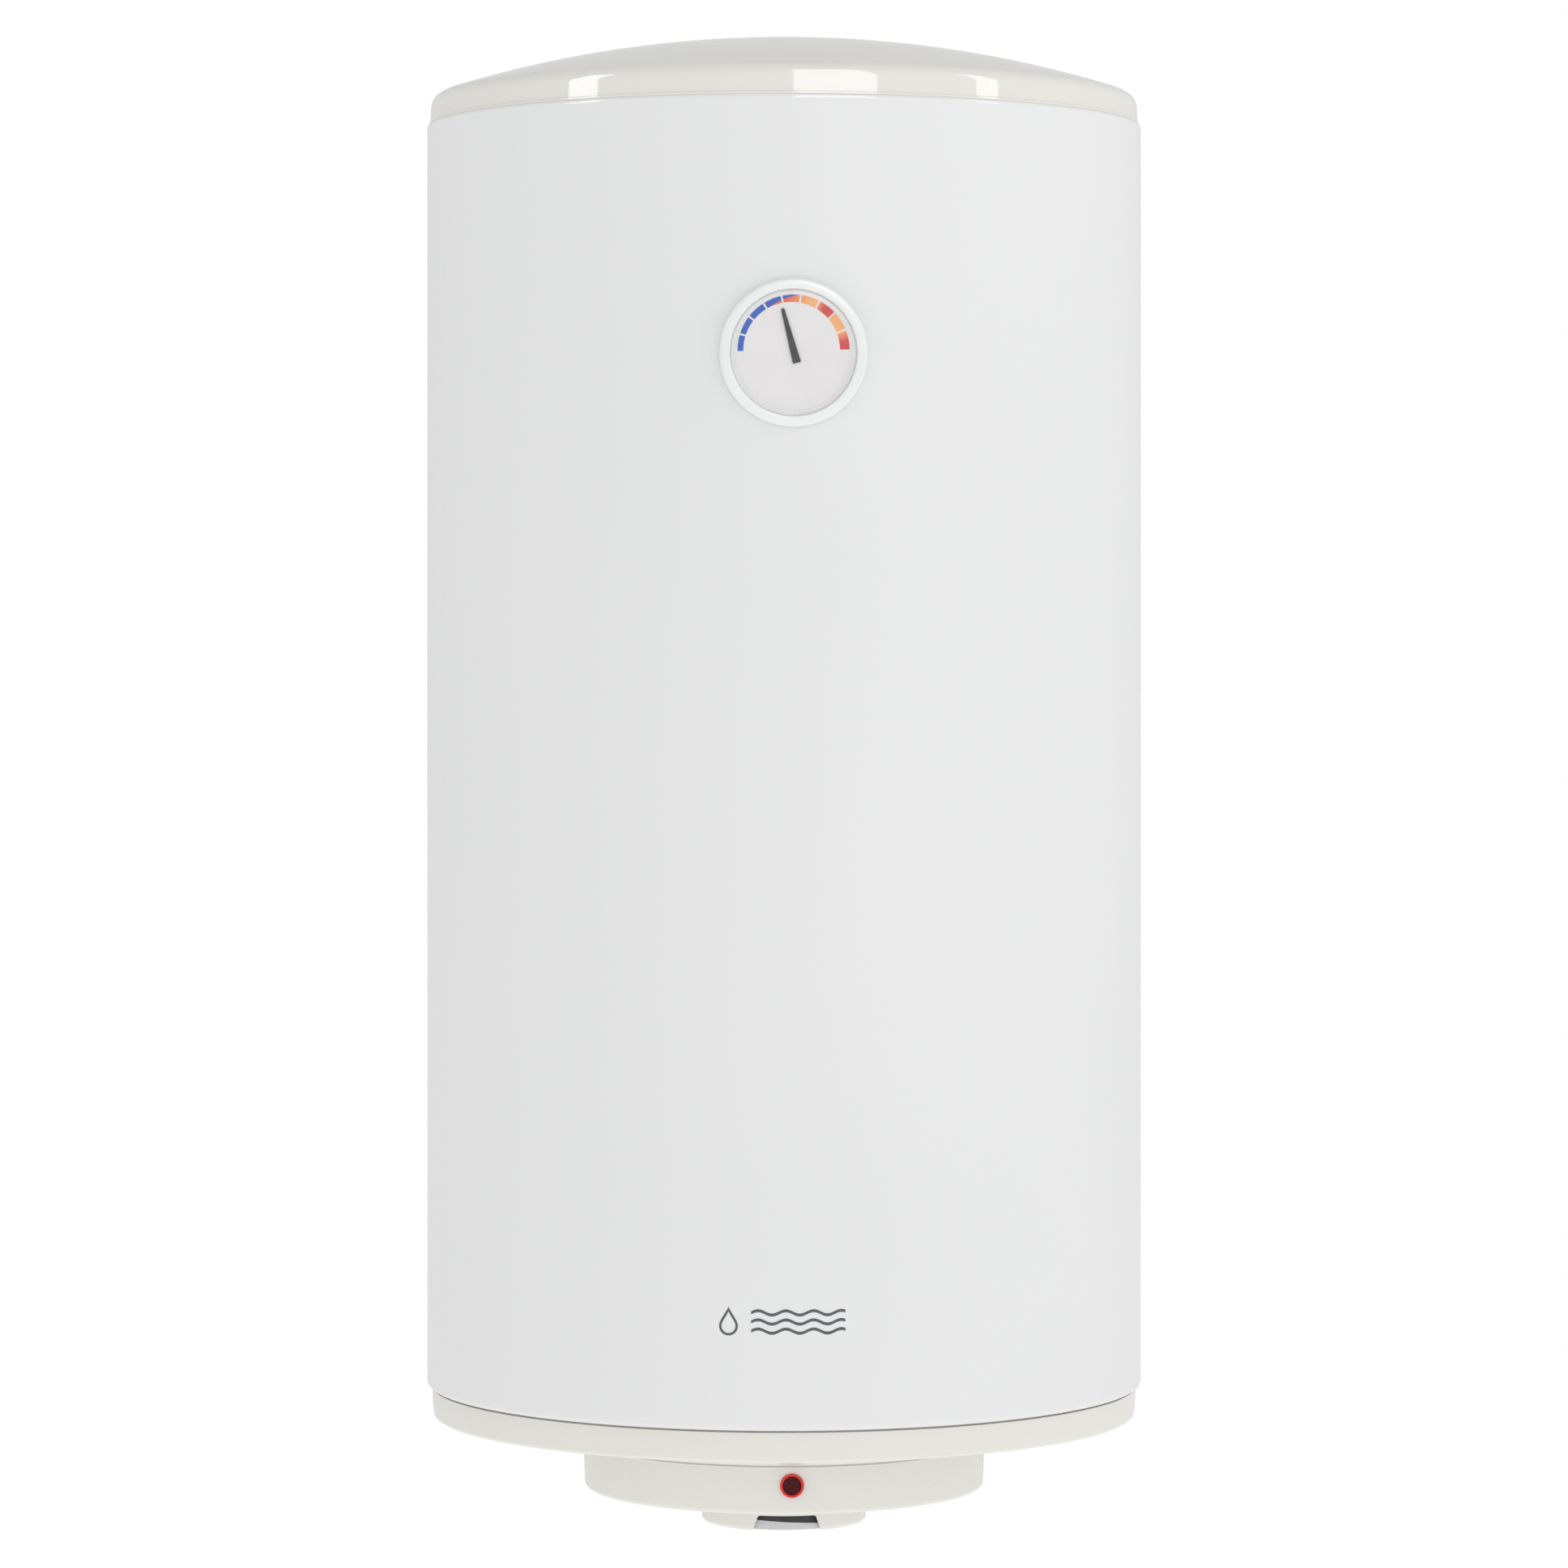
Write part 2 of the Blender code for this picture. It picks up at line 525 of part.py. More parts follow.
def make_cover():
    """Round cover under the flange, with the knob's collar, its window and a hole for the lamp."""
    bead = 0.1274
    corner, rim = 0.0022, 0.0030
    neck = COVER_FLOOR + SHELL
    outer = [(COVER_RADIUS - SHELL, COVER_TOP), (bead, COVER_TOP), (bead, COVER_TOP - 0.0010)]
    outer += [(COVER_RADIUS, COVER_TOP - 0.0013)]
    outer += arc((0.1258 - corner, COVER_FLOOR + corner), corner, 0, -pi / 2, 3)
    outer += [(COLLAR_RADIUS + 0.0016, COVER_FLOOR), (COLLAR_RADIUS + 0.0007, COVER_FLOOR - 0.0010)]
    outer += arc((COLLAR_RADIUS - rim, COLLAR_FLOOR + rim), rim, 0, -pi / 2, 3)
    outer += [(COLLAR_BORE, COLLAR_FLOOR), (COLLAR_BORE, COVER_FLOOR), (0.0072, COVER_FLOOR)]
    inner = [(0.0072, neck), (0.1258 - SHELL - 0.001, neck), (0.1258 - SHELL, neck + 0.001)]
    cover = turned("electrical_cover", outer + inner, IVORY_PLASTIC)

    top, foot, half_top, half_foot, corner = -0.0773, -0.0900, 0.0186, 0.0224, 0.0022
    window = [(-half_foot, foot), (half_foot, foot)]
    window += arc((half_top - corner, top - corner), corner, 0, pi / 2, 3)
    window += arc((corner - half_top, top - corner), corner, pi / 2, pi, 3)
    cut(cover, extruded("window_cut", window, -0.060, -0.040, IVORY_PLASTIC, across="Y"))
    holes = [((0.0, -0.124, LAMP_HEIGHT), (0, 1, 0), 0.0062, 0.02)]
    holes += [((0.0, GLAND_Y, -0.064), (0, 0, 1), 0.0084, 0.02)]
    holes += [((x, 0.0, -0.064), (0, 0, 1), 0.0023, 0.02) for x in (-SCREW_X, SCREW_X)]
    drill(cover, holes)

    screw = [(0.0, -0.0163), (0.0017, -0.0140), (0.0017, 0.0), (0.0040, 0.0), (0.0040, 0.0012)]
    screw += [(0.0026, 0.0024), (0.0, 0.0024)]
    for side, x in (("left", -SCREW_X), ("right", SCREW_X)):
        turned(f"cover_screw_{side}", screw, ZINC_STEEL, 12, (x, 0.0, COVER_FLOOR - 0.0003), (pi, 0, 0))


def make_lamp():
    """Red pilot-lamp cap, pressed into the cover's wall, and the lamp behind it."""
    wall = -0.1266
    cap = [(0.0, -0.0075), (0.0058, -0.0075), (0.0058, 0.0), (0.0073, 0.0), (0.0073, 0.0010)]
    cap += [(0.0068, 0.0015), (0.0060, 0.0010), (0.0, 0.0015)]
    turned("lamp_lens", cap, RED_LENS, 16, (0.0, wall - 0.0003, LAMP_HEIGHT), FACING_FRONT)
    holder = [(0.0, 0.0), (0.0050, 0.0), (0.0050, 0.0160), (0.0036, 0.0200), (0.0, 0.0200)]
    turned("lamp_body", holder, WHITE_PLASTIC, SMALL, (0.0, LAMP_BACK, LAMP_HEIGHT), FACING_FRONT)


def make_thermostat():
    """Rod thermostat on the flange: its body, spindle, sensing rod and safety reset button."""
    top, underside = -0.0305, -0.0560
    low, high = (-0.026, -0.021, underside), (0.026, 0.030, top)
    body = block("thermostat_body", low, high, WHITE_PLASTIC, 0.002)
    holes = [((0, 0, underside), (0, 0, 1), 0.0034, 0.012)]
    holes += [((*BUTTON_PLACE, underside), (0, 0, 1), 0.0035, 0.018)]
    drill(body, holes)

    spindle = [(0.0, -0.0690), (0.0030, -0.0690), (0.0030, -0.0515), (0.0, -0.0515)]
    turned("thermostat_spindle", spindle, ZINC_STEEL, SMALL)

    rod = [(0.0, 0.0003), (0.0040, 0.0003), (0.0040, 0.271), (0.0, 0.272)]
    turned("thermostat_rod", rod, COPPER, SMALL, (0.0, POCKET_Y, top))

    button = [(0.0, -0.0030), (0.0026, -0.0030), (0.0030, -0.0025), (0.0030, 0.0050), (0.0, 0.0050)]
    turned("reset_button", button, RED_PLASTIC, SMALL, (*BUTTON_PLACE, underside))


def make_knob():
    """Temperature knob: a shallow cup inside the collar, with a finger bar underneath and a boss on top."""
    boss, bore = 0.0055, 0.0034
    profile = [(0.0, -0.0046), (bore, -0.0046), (bore, -0.0008), (boss, -0.0008), (boss, -0.0030)]
    profile += [(KNOB_RADIUS - 0.0008, -0.0030), (KNOB_RADIUS, -0.0038)]
    profile += [(KNOB_RADIUS, -KNOB_DEPTH + 0.0010), (KNOB_RADIUS - 0.0010, -KNOB_DEPTH)]
    profile += [(0.0440, -KNOB_DEPTH), (0.0430, -0.0070), (0.0, -0.0070)]
    knob = turned("temperature_knob", profile, GREY_PLASTIC, 32, (0.0, 0.0, COVER_FLOOR))
    low, high = COVER_FLOOR - KNOB_DEPTH + 0.0010, COVER_FLOOR - 0.0060
    bar = block("finger_bar", (-0.0060, -0.0436, low), (0.0060, 0.0436, high), GREY_PLASTIC, 0.0015)
    join(knob, bar)


def make_supply():
    """Cable gland in the cover's floor with its nut, and the terminal block above it."""
    foot, thread = COVER_FLOOR - 0.0003, 0.0080
    bore = 0.0045
    gland = [(bore, foot - 0.0150), (0.0075, foot - 0.0150), (0.0090, foot - 0.0130)]
    gland += [(0.0120, foot - 0.0040), (0.0120, foot)]
    gland += [(thread, foot), (thread, -0.0530), (bore, -0.0530)]
    turned("cable_gland", gland, BLACK_PLASTIC, SMALL, (0.0, GLAND_Y, 0.0))
    nut_foot, nut_top = COVER_FLOOR + SHELL + 0.0003, -0.0570
    nut = [(thread + GAP, nut_foot), (0.0130, nut_foot), (0.0130, nut_top), (thread + GAP, nut_top)]
    turned("gland_nut", nut, BLACK_PLASTIC, 12, (0.0, GLAND_Y, 0.0))
    top = HATCH_HEIGHT - 0.0003
    low = (-0.018, 0.087, top - 0.0140)
    terminals = block("terminal_block", low, (0.018, 0.103, top), WHITE_PLASTIC, 0.0010)
    drill(terminals, [((x, 0.095, top - 0.013), (0, 0, 1), 0.0022, 0.008) for x in (-0.011, 0.0, 0.011)], 8)


def wire(name, finish, start, out, end, back, sag=0.0):
    """A wire that leaves start along out, sags, and reaches end against the direction back."""
    lead = 0.006
    start, end = Vector(start), Vector(end)
    first, last = start + lead * Vector(out), end + lead * Vector(back)
    middle = (first + last) / 2 - Vector((0, 0, sag))
    tube(name, [start, first, middle, last, end], WIRE_RADIUS, finish)


def make_wires():
    """Short wires inside the cover, each from one terminal to the next."""
    block_face, body_back, body_front, body_side = 0.0864, 0.0306, -0.0216, 0.0266
    level, down = -0.0430, (0, 0, -1)
    front, back, left, right = (0, -1, 0), (0, 1, 0), (-1, 0, 0), (1, 0, 0)
    for name, finish, side in (("wire_live", BROWN_WIRE, -1), ("wire_neutral", BLUE_WIRE, 1)):
        clamp = (side * 0.011, block_face, level)
        wire(name, finish, clamp, front, (side * 0.012, body_back, level), back, 0.004)
    plate = (0.024, 0.046, PLATE_UNDERSIDE - 0.0006)
    wire("wire_earth", EARTH_WIRE, (0.0, block_face, level), front, plate, down)
    legs = (ELEMENT_LEGS[0], left, BROWN_WIRE), (ELEMENT_LEGS[-1], right, BLUE_WIRE)
    for side, (leg, out, finish) in zip(("left", "right"), legs):
        tail = (*leg, ELEMENT_TAIL - 0.0006)
        wire(f"wire_element_{side}", finish, (out[0] * body_side, 0.004, -0.047), out, tail, down)
    lamp = (0.0, LAMP_BACK + 0.0005, LAMP_HEIGHT)
    wire("wire_lamp", BLUE_WIRE, lamp, back, (0.0, body_front, LAMP_HEIGHT), front, 0.003)


# ---------------------------------------------------------------- wall fixings
def make_wall_bracket():
    """Steel rail on the wall with two slots for the wall hooks, and two legs down to the jacket."""
    steel, half_width, half_height = 0.003, 0.135, 0.025
    low, high = BRACKET_HEIGHT - half_height, BRACKET_HEIGHT + half_height
    back = WALL_TO_AXIS
    rail = block("wall_bracket", (-half_width, back - steel, low), (half_width, back, high), ZINC_STEEL)
    inner, outer = BODY_RADIUS + 0.0006, BODY_RADIUS + 0.0006 + steel
    start, end = BRACKET_FOOT
    fin_turn = asin((outer * sin(start) + steel) / outer)
    for side in (-1, 1):
        turns = [start + (end - start) * i / 5 for i in range(6)]
        leg = [(inner * sin(t), inner * cos(t)) for t in turns]
        turns = [end + (fin_turn - end) * i / 4 for i in range(5)]
        leg += [(outer * sin(t), outer * cos(t)) for t in turns]
        fin = outer * sin(fin_turn)
        leg += [(fin, back - steel / 2), (fin - steel, back - steel / 2)]
        leg = [(side * x, y) for x, y in leg]
        join(rail, extruded(f"bracket_leg_{side}", leg, low + 0.001, high - 0.001, ZINC_STEEL))
    for side in (-1, 1):
        x, half_slot, radius = side * 0.098, 0.007, 0.006
        slot = arc((x, BRACKET_HEIGHT + half_slot), radius, 0, pi, 6)
        slot += arc((x, BRACKET_HEIGHT - half_slot), radius, pi, 2 * pi, 6)
        cut(rail, extruded(f"hook_slot_{side}", slot, back - 0.01, back + 0.01, ZINC_STEEL, across="Y"))
    feet = [(out, out * outer + Vector((0, 0, height))) for out, height in bracket_bolt_places()]
    drill(rail, [(foot, out, 0.0046, 0.02) for out, foot in feet])

    for number, (out, foot) in enumerate(feet, 1):
        place = foot + out * 0.0003
        hex_bolt(f"bracket_bolt_{number}", place, out, 0.0072, 0.0050, 0.0040, 0.0265, ZINC_STEEL)


def make_wall_spacers():
    """Rubber buffers low on the back that keep the heater upright against the wall."""
    front, back = BODY_RADIUS - 0.02, WALL_TO_AXIS
    for side, x in (("left", -0.06), ("right", 0.06)):
        middle = (x, (front + back) / 2, 0.100)
        spacer = rods(f"wall_spacer_{side}", [(middle, (0, 1, 0), 0.016, back - front)], RUBBER, 20)
        hollow = [(0.0, 0.0), (BODY_RADIUS + GAP, 0.0), (BODY_RADIUS + GAP, 0.2), (0.0, 0.2)]
        cut(spacer, turned(f"jacket_hollow_{side}", hollow, RUBBER))


# ---------------------------------------------------------------- thermometer on the front
def make_gauge():
    """Dial thermometer: bezel saddled on the jacket, clear lens, dial, housing, bimetal coil and stem."""
    ring, mouth, step = 0.0437, 0.0376, 0.0012
    profile = [(0.0405, 0.0), (ring, 0.0), (ring, 0.0036)]
    profile += arc((ring - 0.0022, 0.0036), 0.0022, 0, pi / 2, 2)[1:]
    profile += [(0.0393, 0.0056), (mouth, 0.0049), (mouth, step), (0.0300, step), (0.0300, 0.0005)]
    profile += [(0.0405, 0.0005)]
    bezel = turned("gauge_bezel", profile, WHITE_PLASTIC, 32, gauge_place(), FACING_FRONT)
    for vertex in bezel.data.vertices:
        if vertex.co.z < GAP:
            drop = sqrt((BODY_RADIUS + GAP) ** 2 - vertex.co.x**2) - BODY_RADIUS
            vertex.co.z = drop

    lens_low, lens_top, rim = 0.0024, 0.0047, 0.0373
    lens = [(0.0, lens_top - 0.0010), (0.0340, lens_top - 0.0010), (0.0360, lens_low)]
    lens += [(rim, lens_low), (rim, lens_top - 0.0012), (0.0352, lens_top), (0.0, lens_top)]
    turned("gauge_lens", lens, CLEAR_LENS, MEDIUM, gauge_place(), FACING_FRONT)

    disc = [(0.0, step + 0.0003), (0.0368, step + 0.0003), (0.0368, 0.0021), (0.0, 0.0021)]
    dial = turned("gauge_dial", disc, WHITE_PLASTIC, MEDIUM, gauge_place(), FACING_FRONT)
    pivot = gauge_place() + Vector((0, 0, PIVOT_RISE))
    drill(dial, [(pivot, (0, 1, 0), 0.0018, 0.02)], 12)

    cup, deep = 0.0290, -0.0160
    shell = [(0.0, deep), (cup, deep), (cup, step - 0.0003), (cup - 0.0012, step - 0.0003)]
    shell += [(cup - 0.0012, deep + 0.0012), (0.0, deep + 0.0012)]
    turned("gauge_housing", shell, GREY_PLASTIC, 24, gauge_place(), FACING_FRONT)
    stem = [(0.0, deep - 0.0003), (0.0040, deep - 0.0003), (0.0040, TANK_RADIUS + 0.0006 - BODY_RADIUS)]
    stem += [(0.0, TANK_RADIUS + 0.0006 - BODY_RADIUS)]
    turned("gauge_stem", stem, COPPER, SMALL, gauge_place(), FACING_FRONT)

    coil_turns, steps, strip = 2.5, 30, 0.0005
    inside, outside = [], []
    for i in range(steps + 1):
        turn = 2 * pi * coil_turns * i / steps
        radius = 0.0022 + 0.0085 * i / steps
        inside.append(((radius - strip / 2) * cos(turn), (radius - strip / 2) * sin(turn)))
        outside.append(((radius + strip / 2) * cos(turn), (radius + strip / 2) * sin(turn)))
    coil = extruded("gauge_coil", inside + outside[::-1], -0.0090, -0.0040, COPPER)
    coil.location, coil.rotation_euler = pivot, FACING_FRONT

    arbor = [(0.0, -0.0095), (0.0012, -0.0095), (0.0012, 0.0024), (0.0, 0.0024)]
    turned("gauge_arbor", arbor, ZINC_STEEL, 12, pivot, FACING_FRONT)

    tail, tip, tail_half, tip_half = -0.0071, 0.0254, 0.0022, 0.0008
    blade = [(-tail_half, tail), (tail_half, tail), (tip_half, tip - 0.0006), (0.0004, tip)]
    blade += [(-0.0004, tip), (-tip_half, tip - 0.0006)]
    needle = extruded("gauge_needle", blade, 0.0027, 0.0033, BLACK_PLASTIC)
    needle.location = pivot
    needle.rotation_euler = (pi / 2, -NEEDLE_REST, 0.0)


make_jacket()
make_top_cap()
make_bottom_cap()
make_foam()
make_tank()
make_flange()
make_flange_bolts()
make_immersed_parts()
make_water_pipes()
make_cover()
make_lamp()
make_thermostat()
make_knob()
make_supply()
make_wires()
make_wall_bracket()
make_wall_spacers()
make_gauge()
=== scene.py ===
import json
from math import asin, cos, degrees, pi, radians, sin, sqrt, tan

import bmesh
import bpy
from mathutils import Matrix, Vector


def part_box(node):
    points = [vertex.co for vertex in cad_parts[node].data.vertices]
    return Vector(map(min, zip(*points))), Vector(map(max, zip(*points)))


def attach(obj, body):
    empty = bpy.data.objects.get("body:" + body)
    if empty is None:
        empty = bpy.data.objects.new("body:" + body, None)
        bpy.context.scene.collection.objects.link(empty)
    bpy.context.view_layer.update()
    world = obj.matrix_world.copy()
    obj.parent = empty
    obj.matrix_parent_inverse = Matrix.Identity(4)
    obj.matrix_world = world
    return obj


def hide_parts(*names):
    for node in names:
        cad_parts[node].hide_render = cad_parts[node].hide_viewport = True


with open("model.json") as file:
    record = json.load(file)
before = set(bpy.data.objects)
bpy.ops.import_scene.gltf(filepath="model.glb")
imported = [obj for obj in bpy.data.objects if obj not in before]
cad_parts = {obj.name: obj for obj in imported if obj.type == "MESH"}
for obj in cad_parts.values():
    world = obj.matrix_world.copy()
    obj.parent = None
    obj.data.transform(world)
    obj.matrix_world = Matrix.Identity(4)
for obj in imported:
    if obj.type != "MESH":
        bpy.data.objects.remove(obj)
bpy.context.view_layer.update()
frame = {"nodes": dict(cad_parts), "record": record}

# ---- The heater's place -------------------------------------------------------------------------
# Every turned piece shares the tank's upright axis. Heights are counted from the jacket's lower edge,
# to the nearest millimetre of the frame, so a size here is the size that a rule would give.
jacket_low, jacket_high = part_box("outer_jacket")
jacket_radius = (jacket_high.x - jacket_low.x) / 2
axis_y = round((jacket_low.y + jacket_high.y) / 2, 3)
lower_edge = round(jacket_low.z, 3)
on_axis = Matrix.Translation((0.0, axis_y, lower_edge))

# ---- Camera -------------------------------------------------------------------------------------
# A level camera with a long lens, three and a half metres away at half the heater's height. The lens
# is shifted down instead of tilted, so the jacket's sides stay parallel.
camera_distance = 3.50
camera_turn = radians(-1.43)
camera_height = 0.4685
lens = bpy.data.cameras.new("camera")
lens.lens = 127.15
lens.sensor_width = 36.0
lens.shift_y = -0.0921
camera = bpy.data.objects.new("camera", lens)
camera.location = (
    camera_distance * sin(camera_turn),
    axis_y - camera_distance * cos(camera_turn),
    lower_edge + camera_height,
)
camera.rotation_euler = (pi / 2, 0.0, camera_turn)
bpy.context.scene.collection.objects.link(camera)
bpy.context.scene.camera = camera

# ---- Studio -------------------------------------------------------------------------------------
# A white room, a little brighter in front of the heater and low down, with three softboxes that hang
# above the camera: a broad one beside it and a narrow one at each side. The right one lights the heater,
# and the other two only show on polished plastic.
room_light, room_slope = 1.10, (0.050, -0.160, -0.280)
world = bpy.data.worlds.new("white_studio")
bpy.context.scene.world = world
world.use_nodes = True
tree = world.node_tree
tree.nodes.clear()
direction = tree.nodes.new("ShaderNodeTexCoord")
slope = tree.nodes.new("ShaderNodeVectorMath")
slope.operation = "DOT_PRODUCT"
slope.inputs[1].default_value = room_slope
tree.links.new(direction.outputs["Generated"], slope.inputs[0])
brightness = tree.nodes.new("ShaderNodeMath")
brightness.operation = "ADD"
brightness.inputs[1].default_value = room_light
tree.links.new(slope.outputs["Value"], brightness.inputs[0])
studio = tree.nodes.new("ShaderNodeBackground")
tree.links.new(brightness.outputs[0], studio.inputs["Strength"])
paper = tree.nodes.new("ShaderNodeBackground")
paper.inputs["Color"].default_value = (1.0, 1.0, 1.0, 1.0)
seen = tree.nodes.new("ShaderNodeLightPath")
choose = tree.nodes.new("ShaderNodeMixShader")
tree.links.new(seen.outputs["Is Camera Ray"], choose.inputs["Fac"])
tree.links.new(studio.outputs[0], choose.inputs[1])
tree.links.new(paper.outputs[0], choose.inputs[2])
output = tree.nodes.new("ShaderNodeOutputWorld")
tree.links.new(choose.outputs[0], output.inputs["Surface"])


def softbox(name, azimuth, distance, width, low, high, strength):
    """An upright softbox that faces the heater: azimuth is counted from the front, to the right."""
    light = bpy.data.lights.new(name, "AREA")
    light.shape = "RECTANGLE"
    light.size, light.size_y = width, high - low
    light.energy = pi * width * (high - low) * strength
    lamp = bpy.data.objects.new(name, light)
    out = Vector((sin(radians(azimuth)), -cos(radians(azimuth)), 0.0))
    lamp.location = Vector((0.0, axis_y, 0.0)) + out * distance + Vector((0, 0, (low + high) / 2))
    lamp.rotation_euler = (pi / 2, 0.0, radians(azimuth))
    bpy.context.scene.collection.objects.link(lamp)
    return lamp


softbox("softbox_front", 14.3, 2.4, 1.09, 0.50, 3.00, 4.0).visible_diffuse = False
softbox("softbox_left", -66.5, 2.65, 0.50, 0.52, 2.10, 5.5).visible_diffuse = False
softbox("softbox_right", 64.5, 2.62, 0.37, 0.52, 2.10, 3.8)

view = bpy.context.scene.view_settings
view.view_transform = "Standard"
view.look = "None"

# ---- Floor --------------------------------------------------------------------------------------
# A pale round table of translucent plastic, lit from below, well under the hanging heater and out of
# the camera's view. It brightens everything that faces down.
floor_drop, floor_radius = 1.45, 2.4
floor_shape = bmesh.new()
bmesh.ops.create_circle(floor_shape, cap_ends=True, segments=96, radius=floor_radius)
floor_mesh = bpy.data.meshes.new("floor")
floor_shape.to_mesh(floor_mesh)
floor_shape.free()
floor = bpy.data.objects.new("floor", floor_mesh)
floor.location = (0.0, axis_y, lower_edge - floor_drop)
bpy.context.scene.collection.objects.link(floor)
floor_paint = bpy.data.materials.new("floor_paint")
floor_paint.use_nodes = True
floor_shader = floor_paint.node_tree.nodes["Principled BSDF"]
floor_shader.inputs["Base Color"].default_value = (0.86, 0.86, 0.85, 1.0)
floor_shader.inputs["Roughness"].default_value = 0.7
floor_shader.inputs["Emission Color"].default_value = (1.0, 1.0, 0.99, 1.0)
floor_shader.inputs["Emission Strength"].default_value = 0.4
floor_mesh.materials.append(floor_paint)

# ---- Outer jacket -------------------------------------------------------------------------------
# Cold-rolled steel sheet, 0.8 mm, bent into a tube and closed at the back with a folded lock seam. Both
# edges are rolled inwards, the wall between them is dead straight up to a small margin, and the outside
# has a baked white enamel with a faint orange peel.
sheet = 0.0008


def arc(centre, radius, start, end, steps):
    """Points (radius, height) round a corner of a profile, with angles in degrees from outward."""
    turns = (radians(start + (end - start) * i / steps) for i in range(steps + 1))
    return [(centre[0] + radius * cos(t), centre[1] + radius * sin(t)) for t in turns]


def lathe(profile, sides=256):
    """A bmesh turned round Z from a closed (radius, height) profile, or one whose ends are on the axis."""
    bm = bmesh.new()
    points = [bm.verts.new((r, 0.0, h)) for r, h in profile]
    solid_core = profile[0][0] == 0.0 and profile[-1][0] == 0.0
    ends = points[1:] if solid_core else points[1:] + points[:1]
    edges = [bm.edges.new(pair) for pair in zip(points, ends)]
    bmesh.ops.spin(
        bm, geom=points + edges, axis=(0, 0, 1), cent=(0, 0, 0), angle=2 * pi, steps=sides, use_merge=True
    )
    return bm


def shape_mesh(bm, name, crease):
    """Merges doubles, points the faces out, and shades the round parts smooth."""
    bmesh.ops.remove_doubles(bm, verts=bm.verts, dist=1e-6)
    bmesh.ops.recalc_face_normals(bm, faces=bm.faces)
    mesh = bpy.data.meshes.new(name)
    bm.to_mesh(mesh)
    bm.free()
    mesh.shade_smooth()
    mesh.set_sharp_from_angle(angle=radians(crease))
    return mesh


def block(size, rounding=0.0, steps=3):
    """A bmesh of a box, with its edges rounded if asked."""
    bm = bmesh.new()
    bmesh.ops.create_cube(bm, size=1.0)
    bmesh.ops.scale(bm, vec=size, verts=bm.verts)
    if rounding:
        bmesh.ops.bevel(
            bm, geom=bm.edges[:], offset=rounding, segments=steps, profile=0.5, affect="EDGES", material=-1
        )
    return bm


def make_piece(bm, name, place, finish, crease=30):
    """A piece at the origin with its place in its mesh."""
    bmesh.ops.transform(bm, matrix=place, verts=bm.verts)
    piece = bpy.data.objects.new(name, shape_mesh(bm, name, crease))
    piece.data.materials.append(finish)
    bpy.context.scene.collection.objects.link(piece)
    return piece


def shader_of(name):
    """A new material with its Principled shader and its Object coordinates."""
    made = bpy.data.materials.new(name)
    made.use_nodes = True
    nodes = made.node_tree.nodes
    return made, nodes["Principled BSDF"], nodes.new("ShaderNodeTexCoord").outputs["Object"]


def noise(coordinates, scale, detail=2.0, stretch=None):
    """A noise texture on the piece, in lumps of about 1 / scale metres, stretched along an axis if asked."""
    tree = coordinates.id_data
    texture = tree.nodes.new("ShaderNodeTexNoise")
    texture.inputs["Scale"].default_value = scale
    texture.inputs["Detail"].default_value = detail
    if stretch:
        mapping = tree.nodes.new("ShaderNodeMapping")
        mapping.inputs["Scale"].default_value = stretch
        tree.links.new(coordinates, mapping.inputs["Vector"])
        coordinates = mapping.outputs["Vector"]
    tree.links.new(coordinates, texture.inputs["Vector"])
    return texture.outputs["Fac"]


def dull(shader, value, low, high):
    """Lets the roughness vary between low and high with a noise value."""
    tree = shader.id_data
    remap = tree.nodes.new("ShaderNodeMapRange")
    remap.inputs["From Min"].default_value = 0.30
    remap.inputs["From Max"].default_value = 0.70
    remap.inputs["To Min"].default_value = low
    remap.inputs["To Max"].default_value = high
    tree.links.new(value, remap.inputs["Value"])
    tree.links.new(remap.outputs["Result"], shader.inputs["Roughness"])


def tint(shader, value, first, second):
    """Lets the colour vary between two with a noise value."""
    tree = shader.id_data
    ramp = tree.nodes.new("ShaderNodeValToRGB")
    ramp.color_ramp.elements[0].position = 0.30
    ramp.color_ramp.elements[1].position = 0.70
    ramp.color_ramp.elements[0].color = (*first, 1.0)
    ramp.color_ramp.elements[1].color = (*second, 1.0)
    tree.links.new(value, ramp.inputs["Fac"])
    tree.links.new(ramp.outputs["Color"], shader.inputs["Base Color"])


def roughen(shader, value, depth, strength):
    """Raises a surface by a noise value, to a depth in metres."""
    tree = shader.id_data
    bump = tree.nodes.new("ShaderNodeBump")
    bump.inputs["Distance"].default_value = depth
    bump.inputs["Strength"].default_value = strength
    tree.links.new(value, bump.inputs["Height"])
    tree.links.new(bump.outputs["Normal"], shader.inputs["Normal"])


def baked_enamel():
    made, shader, at = shader_of("baked_enamel")
    tint(shader, noise(at, 5.0), (0.806, 0.809, 0.811), (0.816, 0.818, 0.819))
    dull(shader, noise(at, 30.0, 3.0), 0.045, 0.060)
    roughen(shader, noise(at, 350.0, 2.0), 0.000006, 0.6)
    return made


enamel = baked_enamel()
bottom_roll, top_roll, jacket_height = 0.0032, 0.0025, 0.7920
wall_margin = 0.0006
foot = (jacket_radius - bottom_roll, bottom_roll)
crown = (jacket_radius - top_roll, jacket_height - top_roll)
profile = arc(foot, bottom_roll, -80, 0, 10)
profile += [(jacket_radius, foot[1] + wall_margin), (jacket_radius, crown[1] - wall_margin)]
profile += arc(crown, top_roll, 0, 80, 10)
profile += arc(crown, top_roll - sheet, 80, 0, 8) + arc(foot, bottom_roll - sheet, 0, -80, 8)
jacket = make_piece(lathe(profile), "jacket_sheet", on_axis, enamel)
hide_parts("outer_jacket")
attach(jacket, "heater")

